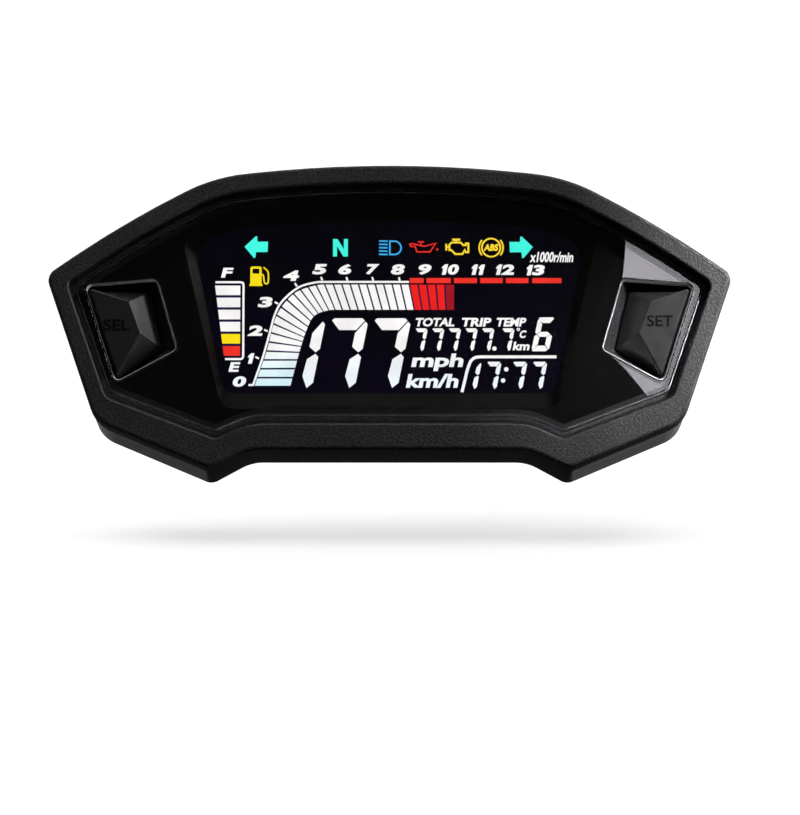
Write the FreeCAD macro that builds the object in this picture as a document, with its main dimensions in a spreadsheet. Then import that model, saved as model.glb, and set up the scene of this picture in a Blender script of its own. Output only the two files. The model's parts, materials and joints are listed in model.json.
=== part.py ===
"""Motorcycle instrument cluster: a lens-fronted LCD gauge with two keys.

Frame: X to the rider's right, Z up, the display faces -Y. The origin is the
centre of the three-point mounting pattern, on the plane of the threaded
inserts' rear faces. Pieces are drawn in the "face frame", where Y is the depth
behind the front face of the rim, and are then moved forward by mount_depth.
"""
import FreeCAD, Part
import math
import os

import Sketcher
from FreeCAD import Placement, Rotation, Vector

os.makedirs("parts", exist_ok=True)
doc = FreeCAD.newDocument("InstrumentCluster")
sheet = doc.addObject("Spreadsheet::Sheet", "dims")
size = {}
pieces = []

# A drawing plane parallel to the face: sketch x is X, sketch y is Z.
FACE_ROTATION = Rotation(Vector(1, 0, 0), 90)


# ---------------------------------------------------------------- dimensions
def cell(alias, value):
    """Write one driving dimension, in millimetres or degrees, with its alias."""
    row = len(size) + 1
    sheet.set(f"A{row}", alias)
    sheet.set(f"B{row}", str(value))
    sheet.setAlias(f"B{row}", alias)
    size[alias] = float(value)


def corner_cells(prefix, corners):
    """Cells for the virtual corners of an outline; a corner on X = 0 has no x cell."""
    names = []
    for name, x, z, radius in corners:
        key = f"{prefix}_{name}"
        if x != 0:
            cell(f"{key}_x", x)
        cell(f"{key}_z", z)
        cell(f"{key}_radius", radius)
        names.append((key, x != 0))
    return names


def point_cells(prefix, points):
    """Cells for the sharp corners of a straight-sided outline."""
    names = []
    for index, (x, z) in enumerate(points, 1):
        key = f"{prefix}_p{index}"
        cell(f"{key}_x", x)
        cell(f"{key}_z", z)
        names.append(key)
    return names


# Depths behind the rim face, front to back.
cell("mount_depth", 35)
cell("lens_front", 2.6)
cell("ledge_depth", 3.6)
cell("lens_back", 5.0)
cell("floor_front", 5.2)
cell("rim_depth", 6.5)
cell("floor_back", 7.2)
cell("lcd_front", 7.7)
cell("polarizer_thick", 0.2)
cell("glass_thick", 1.1)
cell("holder_front", 7.9)
cell("shelf_depth", 12.4)
cell("diffuser_thick", 1.8)
cell("tongue_back", 9.5)
cell("seal_back", 10.5)
cell("well_back", 9.6)
cell("well_slope_end", 8.2)
cell("board_front", 17)
cell("board_back", 18.6)
cell("wall_front", 24.6)
cell("wall_back", 27)
cell("hump_back", 31)
cell("hump_inside", 28.6)

# The rim's own outline, and the outlines nested inside it.
RIM = corner_cells("rim", [
    ("crown", 0, 35.4, 280),
    ("shoulder", 39.0, 31.2, 38),
    ("flank", 60, 20.1, 230),
    ("tip", 75.7, 9.1, 3),
    ("cheek", 64.65, -23.4, 8),
    ("foot", 39.6, -33.9, 2.5),
    ("notch", 30.5, -29.8, 10),
])
MOUTH = corner_cells("mouth", [
    ("crown", 0, 31.48, 276),
    ("shoulder", 37.57, 27.43, 34),
    ("flank", 57.91, 16.68, 210),
    ("tip", 71.12, 7.4, 2.2),
    ("cheek", 62.27, -18.32, 3.2),
    ("foot", 38.2, -27.5, 1.2),
    ("notch", 30.2, -24.1, 15),
])
LENS = corner_cells("lens", [
    ("crown", 0, 29.97, 274),
    ("shoulder", 37.12, 25.97, 32.5),
    ("flank", 57.12, 15.4, 200),
    ("tip", 69.42, 6.76, 1.9),
    ("cheek", 61.48, -16.33, 2.2),
    ("foot", 38.3, -25.25, 1.2),
    ("notch", 30.5, -21.8, 16),
])
MASK = corner_cells("mask", [
    ("crown", 0, 27.2, 200),
    ("shoulder", 34, 24.4, 30),
    ("corner", 46.2, 19.3, 5.5),
    ("foot", 37, -20.1, 3),
])
WINDOW = corner_cells("window", [
    ("crown", 0, 22.9, 300),
    ("shoulder", 30, 21.3, 30),
    ("corner", 43.4, 17.7, 6),
    ("foot", 36.6, -16.3, 3.5),
])
cell("rim_edge_radius", 0.8)
cell("mouth_edge_radius", 0.5)
cell("ledge_margin", 0.9)
cell("channel_margin", 0.25)
cell("floor_inset", 3.4)
cell("tongue_inset", 2.85)
cell("tongue_inside", 4.05)
cell("lens_edge_radius", 0.55)
cell("lens_hole_edge_radius", 0.55)
cell("adhesive_inset", 0.4)
cell("adhesive_width", 1.2)

# Key recesses. Right-hand corners; the left side mirrors them.
KEY_HOLE = point_cells("keyhole", [(51.5, 8.5), (67.0, 7.2), (60.2, -14.2), (47.0, -7.0)])
KEY_WALL = point_cells("keywall", [(49.8, 9.8), (68.3, 8.6), (61.2, -16.4), (47.3, -8.4)])
KEY_BASE = point_cells("keybase", [(53.2, 6.6), (66.4, 6.6), (59.9, -13.2), (50.1, -6.2)])
KEY_TOP = point_cells("keytop", [(57.5, 3.5), (66.4, 6.6), (59.9, -13.2), (54.9, -3.4)])
cell("keyhole_edge_radius", 1.1)
cell("key_gap", 0.3)
cell("key_top_depth", 2.0)
cell("key_base_depth", 7.2)
cell("key_back", 11)
cell("key_flange_front", 9.65)
cell("key_flange_back", 10.85)
cell("key_flange_margin", 1.2)
cell("key_wall_thick", 1.7)
cell("key_core_front", 6.4)
cell("key_edge_radius", 0.45)
cell("stem_radius", 2.5)
cell("stem_back", 12.75)
cell("switch_x", 57.8)
cell("switch_z", -2.2)
cell("switch_side", 6.0)
cell("switch_front", 13.5)
cell("switch_bore_radius", 1.8)
cell("switch_bore_depth", 2.7)
cell("plunger_radius", 1.75)
cell("plunger_front", 12.8)
cell("plunger_length", 2.7)

# Display stack.
GLASS = point_cells("glass", [(45, -19.6), (45, 18.5), (34, 24.0)])
REAR_GLASS = point_cells("rearglass", [(45, -16.9), (45, 16.8), (35.5, 21.3)])
POLARIZER = point_cells("polarizer", [(44.2, -17.4), (44.2, 18.1), (33, 23.2)])
DIFFUSER = point_cells("diffuser", [(44.8, -16.7), (44.8, 16.7), (35.4, 21.1)])
HOLDER = point_cells("holder", [(46.7, -21.4), (46.7, 19.4), (34.4, 25.7)])
LIGHTBOX = point_cells("lightbox", [(43, -15.6), (43, 16.0), (34.6, 20.0)])
cell("holder_gap", 0.15)
cell("gasket_inset", 0.3)
cell("zebra_width", 2.0)
cell("zebra_lower_z", -18.5)
cell("zebra_lower_length", 84)
cell("zebra_upper_z", 22.7)
cell("zebra_upper_length", 62)
cell("led_side", 2.8)
cell("led_thick", 0.9)
cell("led_pitch_x", 16)
cell("led_pitch_z", 16)

# Case screws and the columns that clamp the board.
cell("screw_x", 51.5)
cell("screw_upper_z", 14.6)
cell("screw_lower_z", -19.5)
cell("screw_radius", 1.45)
cell("screw_length", 16)
cell("screw_head_radius", 2.8)
cell("screw_head_height", 2.1)
cell("screw_seat_depth", 24)
cell("screw_bore_depth", 7.9)
cell("boss_radius", 3.25)
cell("column_radius", 4.4)
cell("clearance_radius", 1.6)
cell("counterbore_radius", 3.3)
cell("board_hole_radius", 1.7)
cell("board_inset", 6.0)

# Rear housing. Its rear edge follows its own outline, higher along the middle.
BACK = corner_cells("back", [
    ("crown", 0, 33.9, 279),
    ("shoulder", 38.4, 29.9, 37),
    ("flank", 59.2, 18.9, 229),
    ("tip", 74.9, 8.6, 4),
    ("cheek", 64.3, -23.3, 7),
    ("foot", 39.6, -33.8, 3),
    ("notch", 30.7, -28.9, 10),
])
cell("housing_front_inset", 0.3)
cell("socket_inset", 2.75)
cell("pocket_inset", 4.4)
cell("seal_inside", 4.25)
cell("housing_edge_radius", 1.6)
HUMP = point_cells("hump", [(14, 28.0), (38, 16.5), (30, -19)])
cell("hump_wall", 2.4)
cell("hump_corner_radius", 5)
cell("hump_edge_radius", 1.2)
cell("rib_thick", 1.4)
cell("rib_depth", 2.2)
cell("rib_pitch", 12)

# Mounting: three threaded inserts and rubber rings on a circle.
cell("mount_pcd", 44)
cell("mount_count", 3)
cell("mount_boss_radius", 6.0)
cell("insert_radius", 3.5)
cell("insert_bore_radius", 2.5)
cell("insert_front", 26.5)
cell("damper_radius", 7.0)
cell("damper_thick", 3)
cell("damper_bore_radius", 4.3)
cell("damper_edge", 0.6)
cell("collar_radius", 4.25)
cell("collar_bore_radius", 2.7)
cell("collar_length", 2.7)

# Cable and harness plug.
cell("cable_x", 46)
cell("cable_z", -8)
cell("cable_radius", 3.5)
cell("cable_bend_radius", 9)
cell("cable_start_depth", 24)
cell("cable_straight", 8.2)
cell("cable_rise", 2)
cell("grommet_hole_radius", 5.2)
cell("grommet_flange_radius", 7.0)
cell("grommet_neck_radius", 5.2)
cell("grommet_tail_radius", 4.6)
cell("wire_radius", 0.7)
cell("wire_pitch", 3.0)
cell("wire_length", 4.5)
cell("plug_width", 20)
cell("plug_depth", 12)
cell("plug_height", 15)
cell("plug_wall", 1.5)
cell("plug_mouth_depth", 8)
cell("plug_latch_width", 6)
cell("plug_latch_height", 9)
cell("plug_latch_thick", 1.4)
cell("terminal_side", 0.9)
cell("terminal_pitch_x", 4.2)
cell("terminal_pitch_z", 4.0)
cell("terminal_length", 6)
cell("lead_wire_radius", 0.45)
cell("lead_wire_pitch", 1.5)

# Board parts.
cell("chip_side", 10)
cell("chip_thick", 1.5)
cell("chip_x", -12)
cell("chip_z", 4)
cell("lead_pitch", 0.8)
cell("lead_count", 11)
cell("lead_width", 0.35)
cell("lead_reach", 1.2)
cell("crystal_length", 11)
cell("crystal_width", 4.6)
cell("crystal_thick", 3.6)
cell("crystal_x", -12)
cell("crystal_z", -6)
cell("regulator_width", 6.6)
cell("regulator_length", 6.2)
cell("regulator_thick", 2.3)
cell("regulator_x", 22)
cell("regulator_z", 12)
cell("capacitor_radius", 3.1)
cell("capacitor_height", 5.4)
cell("capacitor_x", 12)
cell("capacitor_z", -17)
cell("capacitor_pitch", 9)
cell("inductor_side", 7.3)
cell("inductor_thick", 4.2)
cell("inductor_x", 12)
cell("inductor_z", 12)
cell("diode_length", 5.2)
cell("diode_width", 3.8)
cell("diode_thick", 2.4)
cell("diode_x", 30.5)
cell("diode_z", 12)
cell("chip_part_length", 2.0)
cell("chip_part_width", 1.2)
cell("chip_part_thick", 0.7)
cell("chip_part_pitch_x", 5)
cell("chip_part_pitch_z", 3.4)
cell("chip_part_x", -38)
cell("chip_part_z", -12)
cell("header_width", 6)
cell("header_length", 14)
cell("header_thick", 2.6)
cell("header_wall", 0.8)
cell("header_plug_thick", 1.8)

# Pressure vent on the rear wall.
cell("vent_x", -46)
cell("vent_z", -4)
cell("vent_radius", 4.5)
cell("vent_neck_radius", 2.5)
cell("vent_cap_thick", 1.3)
doc.recompute()


# ------------------------------------------------------------ drawing helpers
def bind(item, prop, formula):
    item.setExpression(prop, formula)


def move_to_depth(item, depth):
    """Place a face-frame outline at a depth given as a sheet formula."""
    bind(item, ".Placement.Base.y", depth)


def fix_point(sketch, geometry, x_formula, z_formula, x, z):
    """Pin a sketch point to sheet formulas; x_formula None keeps it on the centre line."""
    if x_formula is None:
        sketch.addConstraint(Sketcher.Constraint("PointOnObject", geometry, 1, -2))
    else:
        index = sketch.addConstraint(Sketcher.Constraint("DistanceX", -1, 1, geometry, 1, x))
        bind(sketch, f"Constraints[{index}]", x_formula)
    index = sketch.addConstraint(Sketcher.Constraint("DistanceY", -1, 1, geometry, 1, z))
    bind(sketch, f"Constraints[{index}]", z_formula)


def fillet_geometry(points, radii):
    """Exact tangent points and centres for a closed polygon with rounded corners."""
    rounded = []
    count = len(points)
    for index, corner in enumerate(points):
        before = (points[index - 1] - corner).normalize()
        after = (points[(index + 1) % count] - corner).normalize()
        half = before.getAngle(after) / 2
        reach = radii[index] / math.tan(half)
        middle = (before + after).normalize()
        centre = corner + middle * (radii[index] / math.sin(half))
        rounded.append((corner + before * reach, corner + after * reach, centre))
    for index, corner in enumerate(points):
        side = (points[(index + 1) % count] - corner).Length
        used = (rounded[index][1] - corner).Length
        used += (rounded[(index + 1) % count][0] - points[(index + 1) % count]).Length
        if used > side - 0.05:
            raise RuntimeError(f"corner radii meet on the side after {corner}")
    return rounded


def rounded_outline(name, corners):
    """Closed sketch symmetric about X = 0: straight sides joined by tangent arcs.

    Each corner is a construction point pinned to its cells; the two sides
    beside it pass through the point and its arc has the cell's radius.
    """
    sketch = doc.addObject("Sketcher::SketchObject", name)
    sketch.Placement = Placement(Vector(0, 0, 0), FACE_ROTATION)
    around = [(key, 1, paired) for key, paired in corners]
    around += [(key, -1, paired) for key, paired in reversed(corners) if paired]
    points = []
    for key, side, paired in around:
        x = side * size[f"{key}_x"] if paired else 0
        points.append(Vector(x, size[f"{key}_z"], 0))
    radii = [size[f"{key}_radius"] for key, side, paired in around]
    rounded = fillet_geometry(points, radii)
    count = len(points)
    arc_ends = []
    geometry = []
    for index, (entry, leave, centre) in enumerate(rounded):
        first = math.atan2(entry.y - centre.y, entry.x - centre.x)
        last = math.atan2(leave.y - centre.y, leave.x - centre.x)
        counterclockwise = (last - first) % (2 * math.pi) < math.pi
        arc_ends.append((1, 2) if counterclockwise else (2, 1))
        if not counterclockwise:
            first, last = last, first
        sweep = (last - first) % (2 * math.pi)
        circle = Part.Circle(centre, Vector(0, 0, 1), radii[index])
        geometry.append(Part.ArcOfCircle(circle, first, first + sweep))
        geometry.append(Part.LineSegment(leave, rounded[(index + 1) % count][0]))
    sketch.addGeometry(geometry, False)
    marks = sketch.addGeometry([Part.Point(point) for point in points], True)
    rules = []
    for index in range(count):
        arc = 2 * index
        side_before = (arc - 1) % (2 * count)
        side_after = arc + 1
        entry, leave = arc_ends[index]
        rules.append(Sketcher.Constraint("Tangent", side_before, 2, arc, entry))
        rules.append(Sketcher.Constraint("Tangent", arc, leave, side_after, 1))
        rules.append(Sketcher.Constraint("PointOnObject", marks[index], 1, side_before))
        rules.append(Sketcher.Constraint("PointOnObject", marks[index], 1, side_after))
    sketch.addConstraint(rules)
    for index, (key, side, paired) in enumerate(around):
        sign = "" if side > 0 else "-"
        x_formula = f"{sign}dims.{key}_x" if paired else None
        z_formula = f"dims.{key}_z"
        fix_point(sketch, marks[index], x_formula, z_formula, points[index].x, points[index].y)
        rule = Sketcher.Constraint("Radius", 2 * index, radii[index])
        bind(sketch, f"Constraints[{sketch.addConstraint(rule)}]", f"dims.{key}_radius")
    return sketch


def draw_polygon(sketch, corners):
    """Closed straight-sided loop whose corners are pinned to sheet formulas.

    corners is a list of (x_formula, z_formula, x, z).
    """
    points = [Vector(x, z, 0) for x_formula, z_formula, x, z in corners]
    count = len(points)
    lines = []
    for index in range(count):
        lines.append(Part.LineSegment(points[index], points[(index + 1) % count]))
    first = len(sketch.Geometry)
    sketch.addGeometry(lines, False)
    for index in range(count):
        here = first + index
        following = first + (index + 1) % count
        sketch.addConstraint(Sketcher.Constraint("Coincident", here, 2, following, 1))
    for index, (x_formula, z_formula, x, z) in enumerate(corners):
        fix_point(sketch, first + index, x_formula, z_formula, x, z)


def polygon_corners(names, side=1):
    """Corner formulas for named points, on the right (+1) or the left (-1)."""
    sign = "" if side > 0 else "-"
    corners = []
    for key in names:
        x = side * size[f"{key}_x"]
        corners.append((f"{sign}dims.{key}_x", f"dims.{key}_z", x, size[f"{key}_z"]))
    return corners


def mirrored_polygon(names):
    """Corner formulas for an outline whose right half is the named points."""
    return polygon_corners(names) + polygon_corners(list(reversed(names)), -1)


def polygon_outline(name, corners):
    sketch = doc.addObject("Sketcher::SketchObject", name)
    sketch.Placement = Placement(Vector(0, 0, 0), FACE_ROTATION)
    draw_polygon(sketch, corners)
    return sketch


def inset(name, outline, formula, outward=False):
    """Outline moved inward (or outward) by a sheet formula."""
    offset = doc.addObject("Part::Offset2D", name)
    offset.Source = outline
    offset.Join = 0
    value = sheet_value(formula)
    offset.Value = value if outward else -value
    bind(offset, "Value", formula if outward else f"-({formula})")
    return offset


def sheet_value(formula):
    """Number for a formula that only adds and subtracts sheet cells."""
    total = 0.0
    for term in formula.replace("-", "+-").split("+"):
        term = term.strip()
        if term:
            sign = -1 if term.startswith("-") else 1
            total += sign * size[term.lstrip("- ").replace("dims.", "")]
    return total


def slab(name, outline, front, back):
    """Solid from one depth to another, both sheet formulas."""
    solid = doc.addObject("Part::Extrusion", name)
    solid.Base = outline
    solid.DirMode = "Custom"
    solid.Dir = Vector(0, 1, 0)
    solid.Solid = True
    bind(solid, "LengthFwd", back)
    bind(solid, "LengthRev", f"-({front})")
    return solid


def ruled_solid(name, front_outline, back_outline):
    """Straight-sided solid between two outlines with the same number of sides."""
    solid = doc.addObject("Part::Loft", name)
    solid.Sections = [front_outline, back_outline]
    solid.Solid = True
    solid.Ruled = True
    return solid


def rod(name, x, z, radius, front, back):
    """Cylinder along the depth; every argument but the name is a sheet formula."""
    cylinder = doc.addObject("Part::Cylinder", name)
    cylinder.Placement = Placement(Vector(0, 0, 0), Rotation(Vector(1, 0, 0), -90))
    bind(cylinder, "Radius", radius)
    bind(cylinder, "Height", f"{back} - ({front})")
    bind(cylinder, ".Placement.Base.x", x)
    bind(cylinder, ".Placement.Base.y", front)
    bind(cylinder, ".Placement.Base.z", z)
    return cylinder


def block(name, x, z, width, height, front, back):
    """Box centred on (x, z) in the face frame; arguments are sheet formulas."""
    box = doc.addObject("Part::Box", name)
    bind(box, "Length", width)
    bind(box, "Width", f"{back} - ({front})")
    bind(box, "Height", height)
    bind(box, ".Placement.Base.x", f"{x} - ({width}) / 2")
    bind(box, ".Placement.Base.y", front)
    bind(box, ".Placement.Base.z", f"{z} - ({height}) / 2")
    return box


def fuse(name, parts):
    joined = doc.addObject("Part::MultiFuse", name)
    joined.Shapes = parts
    return joined


def cut(name, base, tools):
    """Base less every tool; the volume must go down."""
    tool = tools[0] if len(tools) == 1 else fuse(f"{name}_tools", tools)
    result = doc.addObject("Part::Cut", name)
    result.Base = base
    result.Tool = tool
    doc.recompute()
    if result.Shape.Volume > base.Shape.Volume - 0.001:
        raise RuntimeError(f"{name}: the tools remove nothing")
    return result


def edges_where(shape, test):
    """Indices (from 1) of the edges whose bounding box passes the test."""
    return [i for i, edge in enumerate(shape.Edges, 1) if test(edge.BoundBox)]


def flat_at(depth):
    """Test for edges that lie wholly at one depth."""
    return lambda box: abs(box.YMin - depth) < 1e-4 and abs(box.YMax - depth) < 1e-4


def on_outline(shape, indices, outline):
    """Keep the flat edges that follow an outline drawn at depth 0."""
    kept = []
    for index in indices:
        edge = shape.Edges[index - 1]
        middle = edge.valueAt((edge.FirstParameter + edge.LastParameter) / 2)
        mark = Part.Vertex(middle.x, 0, middle.z)
        if outline.Shape.distToShape(mark)[0] < 0.02:
            kept.append(index)
    return kept


def round_edges(name, base, groups):
    """Part fillet; groups is a list of (edge indices, radius alias)."""
    rounded = doc.addObject("Part::Fillet", name)
    rounded.Base = base
    rounded.Edges = [(i, size[alias], size[alias]) for indices, alias in groups for i in indices]
    doc.recompute()
    return rounded


def piece(label, item):
    """Name a finished face-frame piece and move it into the cluster's own frame."""
    item.Label = label
    bind(item, ".Placement.Base.y", "-dims.mount_depth")
    pieces.append(item)
    return item


# ------------------------------------------------------------- body helpers
def new_body(label, x, depth, z):
    """Body whose origin sits at (x, depth, z) in the face frame."""
    body = doc.addObject("PartDesign::Body", label + "_body")
    body.Label = label
    bind(body, ".Placement.Base.x", x)
    bind(body, ".Placement.Base.y", f"{depth} - dims.mount_depth")
    bind(body, ".Placement.Base.z", z)
    pieces.append(body)
    return body


def origin_feature(body, role):
    for feature in body.Origin.OriginFeatures:
        if feature.Role == role:
            return feature
    raise RuntimeError(f"{body.Label}: no {role}")


def body_sketch(body, name, role="XZ_Plane", lift="0"):
    """Sketch on an origin plane, moved along the plane's normal by a formula."""
    sketch = body.newObject("Sketcher::SketchObject", name)
    sketch.AttachmentSupport = [(origin_feature(body, role), "")]
    sketch.MapMode = "FlatFace"
    if lift != "0":
        bind(sketch, ".AttachmentOffset.Base.z", lift)
    return sketch


def draw_rectangle(sketch, x, z, width, height):
    """Rectangle centred on (x, z); arguments are (formula, value) pairs."""
    half_w = (f"({width[0]}) / 2", width[1] / 2)
    half_h = (f"({height[0]}) / 2", height[1] / 2)
    corners = []
    for sx, sz in [(-1, -1), (1, -1), (1, 1), (-1, 1)]:
        sign_x = "-" if sx < 0 else "+"
        sign_z = "-" if sz < 0 else "+"
        corners.append((
            f"{x[0]} {sign_x} {half_w[0]}",
            f"{z[0]} {sign_z} {half_h[0]}",
            x[1] + sx * half_w[1],
            z[1] + sz * half_h[1],
        ))
    draw_polygon(sketch, corners)


def draw_circle(sketch, x, z, radius):
    """Circle at (x, z); arguments are (formula, value) pairs."""
    circle = Part.Circle(Vector(x[1], z[1], 0), Vector(0, 0, 1), radius[1])
    index = sketch.addGeometry(circle, False)
    rule = Sketcher.Constraint("Radius", index, radius[1])
    bind(sketch, f"Constraints[{sketch.addConstraint(rule)}]", radius[0])
    rule = Sketcher.Constraint("DistanceX", -1, 1, index, 3, x[1])
    bind(sketch, f"Constraints[{sketch.addConstraint(rule)}]", x[0])
    rule = Sketcher.Constraint("DistanceY", -1, 1, index, 3, z[1])
    bind(sketch, f"Constraints[{sketch.addConstraint(rule)}]", z[0])


def dim(alias, factor=1.0):
    """(formula, value) pair for one cell, optionally scaled."""
    if factor == 1.0:
        return (f"dims.{alias}", size[alias])
    return (f"dims.{alias} * {factor}", size[alias] * factor)


ZERO = ("0", 0.0)


def pad(body, name, sketch, length, inward=True):
    """Pad towards the rear of the cluster (inward) or towards the face."""
    doc.recompute()
    feature = body.newObject("PartDesign::Pad", name)
    feature.Profile = sketch
    feature.Reversed = inward
    bind(feature, "Length", length)
    doc.recompute()
    return feature


def pocket(body, name, sketch, length, inward=True):
    """Pocket towards the rear (inward) or the face; it must remove material."""
    doc.recompute()
    before = body.Shape.Volume
    feature = body.newObject("PartDesign::Pocket", name)
    feature.Profile = sketch
    feature.Reversed = not inward
    bind(feature, "Length", length)
    doc.recompute()
    if body.Shape.Volume > before - 1e-4:
        raise RuntimeError(f"{body.Label}: {name} removes nothing")
    return feature


def revolve(body, name, sketch, axis):
    doc.recompute()
    feature = body.newObject("PartDesign::Revolution", name)
    feature.Profile = sketch
    feature.ReferenceAxis = (sketch, [axis])
    feature.Angle = 360
    doc.recompute()
    return feature


def linear_pattern(body, name, role, pitch, count, reverse=False):
    """One direction of a grid, for use in a MultiTransform."""
    pattern = body.newObject("PartDesign::LinearPattern", name)
    pattern.Direction = (origin_feature(body, role), [""])
    pattern.Reversed = reverse
    pattern.Occurrences = count
    bind(pattern, "Length", f"({pitch}) * {count - 1}")
    return pattern


def grid(body, name, features, directions):
    """Repeat features over a grid of (role, pitch formula, count, reverse)."""
    transform = body.newObject("PartDesign::MultiTransform", name)
    transform.Originals = features
    patterns = []
    for index, (role, pitch, count, reverse) in enumerate(directions, 1):
        patterns.append(linear_pattern(body, f"{name}_{index}", role, pitch, count, reverse))
    transform.Transformations = patterns
    body.Tip = transform
    doc.recompute()
    return transform


def around_mount(body, name, features):
    """Repeat features around the mounting circle's axis."""
    pattern = body.newObject("PartDesign::PolarPattern", name)
    pattern.Originals = features
    pattern.Axis = (origin_feature(body, "Y_Axis"), [""])
    pattern.Angle = 360
    bind(pattern, "Occurrences", "dims.mount_count")
    body.Tip = pattern
    doc.recompute()
    return pattern


def layer(label, names, front, thickness):
    """Flat sheet piece of the display stack, cut to a mirrored outline."""
    body = new_body(label, "0", front, "0")
    sketch = body_sketch(body, label + "_outline")
    draw_polygon(sketch, mirrored_polygon(names))
    pad(body, label + "_sheet", sketch, thickness)
    return body


# ------------------------------------------------------------------ outlines
rim_outline = rounded_outline("rim_outline", RIM)
mouth_outline = rounded_outline("mouth_outline", MOUTH)
lens_outline = rounded_outline("lens_outline", LENS)
mask_outline = rounded_outline("mask_outline", MASK)
move_to_depth(mask_outline, "dims.floor_front")
window_outline = rounded_outline("window_outline", WINDOW)
move_to_depth(window_outline, "dims.floor_back")
doc.recompute()

# ---------------------------------------------------------------- front case
# One moulding: textured rim, floor with the sloped display window, key wells,
# a tongue that enters the rear housing and four screw bosses.
rim_ring = slab("rim_ring", rim_outline, "0", "dims.rim_depth")
floor_outline = inset("floor_outline", rim_outline, "dims.floor_inset")
floor_slab = slab("floor_slab", floor_outline, "dims.floor_front", "dims.floor_back")
tongue_outer = inset("tongue_outer", rim_outline, "dims.tongue_inset")
tongue_inner = inset("tongue_inner", rim_outline, "dims.tongue_inside")
tongue_block = slab("tongue_block", tongue_outer, "dims.rim_depth", "dims.tongue_back")
tongue_void = slab("tongue_void", tongue_inner, "dims.rim_depth", "dims.tongue_back")
tongue_ring = cut("tongue_ring", tongue_block, [tongue_void])

ledge_outline = inset("ledge_outline", lens_outline, "dims.ledge_margin", outward=True)
move_to_depth(ledge_outline, "dims.ledge_depth")
channel_outline = inset("channel_outline", lens_outline, "dims.channel_margin", outward=True)
mouth_void = ruled_solid("mouth_void", mouth_outline, ledge_outline)
channel_void = slab("channel_void", channel_outline, "dims.ledge_depth", "dims.floor_front")
window_void = ruled_solid("window_void", mask_outline, window_outline)

case_solids = [rim_ring, floor_slab, tongue_ring]
case_voids = [mouth_void, channel_void, window_void]
case_bores = []
for side, tag in ((1, "right"), (-1, "left")):
    sign = "" if side > 0 else "-"
    wall = polygon_outline(f"well_wall_{tag}", polygon_corners(KEY_WALL, side))
    case_solids.append(slab(f"well_block_{tag}", wall, "dims.floor_front", "dims.well_back"))
    slope_front = polygon_outline(f"slope_front_{tag}", polygon_corners(KEY_HOLE, side))
    move_to_depth(slope_front, "dims.floor_front")
    key_base = polygon_outline(f"key_base_{tag}", polygon_corners(KEY_BASE, side))
    slope_back = doc.addObject("Part::Offset2D", f"slope_back_{tag}")
    slope_back.Source = key_base
    slope_back.Join = 2
    slope_back.Value = size["key_gap"]
    bind(slope_back, "Value", "dims.key_gap")
    move_to_depth(slope_back, "dims.well_slope_end")
    case_voids.append(ruled_solid(f"well_slope_{tag}", slope_front, slope_back))
    opening = doc.addObject("Part::Offset2D", f"opening_{tag}")
    opening.Source = key_base
    opening.Join = 2
    opening.Value = size["key_gap"]
    bind(opening, "Value", "dims.key_gap")
    throat = slab(f"well_throat_{tag}", opening, "dims.well_slope_end", "dims.well_back")
    case_voids.append(throat)
    for level in ("upper", "lower"):
        x = f"{sign}dims.screw_x"
        z = f"dims.screw_{level}_z"
        boss = rod(f"boss_{tag}_{level}", x, z, "dims.boss_radius",
                   "dims.floor_front", "dims.board_front")
        bore = rod(f"boss_bore_{tag}_{level}", x, z, "dims.screw_radius",
                   "dims.screw_bore_depth", "dims.board_front")
        case_solids.append(boss)
        case_bores.append(bore)
case_block = fuse("case_block", case_solids)
case_open = cut("case_open", case_block, case_voids + case_bores)
front_edges = edges_where(case_open.Shape, flat_at(0))
rim_edges = on_outline(case_open.Shape, front_edges, rim_outline)
mouth_edges = on_outline(case_open.Shape, front_edges, mouth_outline)
front_case = round_edges("front_case_rounded", case_open, [
    (rim_edges, "rim_edge_radius"),
    (mouth_edges, "mouth_edge_radius"),
])
piece("front_case", front_case)

# ----------------------------------------------------------------------- lens
# Clear sheet with a rounded front edge and a cut-out for each key.
lens_blank = slab("lens_blank", lens_outline, "dims.lens_front", "dims.lens_back")
lens_cuts = []
for side, tag in ((1, "right"), (-1, "left")):
    hole = polygon_outline(f"lens_hole_{tag}", polygon_corners(KEY_HOLE, side))
    hole_slab = slab(f"lens_hole_slab_{tag}", hole, "dims.lens_front", "dims.lens_back")
    doc.recompute()
    uprights = edges_where(
        hole_slab.Shape,
        lambda box: box.YLength > 1 and box.XLength < 1e-4,
    )
    lens_cuts.append(round_edges(f"lens_hole_soft_{tag}", hole_slab,
                                 [(uprights, "keyhole_edge_radius")]))
lens_open = cut("lens_open", lens_blank, lens_cuts)
front_edges = edges_where(lens_open.Shape, flat_at(size["lens_front"]))
border_edges = on_outline(lens_open.Shape, front_edges, lens_outline)
hole_edges = [index for index in front_edges if index not in border_edges]
lens = round_edges("lens_rounded", lens_open, [
    (border_edges, "lens_edge_radius"),
    (hole_edges, "lens_hole_edge_radius"),
])
piece("lens", lens)

glue_outer = inset("glue_outer", lens_outline, "dims.adhesive_inset")
glue_inner = inset("glue_inner", lens_outline, "dims.adhesive_inset + dims.adhesive_width")
glue_sheet = slab("glue_sheet", glue_outer, "dims.lens_back", "dims.floor_front")
glue_void = slab("glue_void", glue_inner, "dims.lens_back", "dims.floor_front")
glue_cuts = [glue_void]
for side, tag in ((1, "right"), (-1, "left")):
    margin = doc.addObject("Part::Offset2D", f"glue_margin_{tag}")
    margin.Source = doc.getObject(f"lens_hole_{tag}")
    margin.Value = size["adhesive_inset"]
    bind(margin, "Value", "dims.adhesive_inset")
    glue_cuts.append(slab(f"glue_hole_{tag}", margin, "dims.lens_back", "dims.floor_front"))
adhesive = cut("adhesive_ring", glue_sheet, glue_cuts)
piece("lens_adhesive", adhesive)

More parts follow.
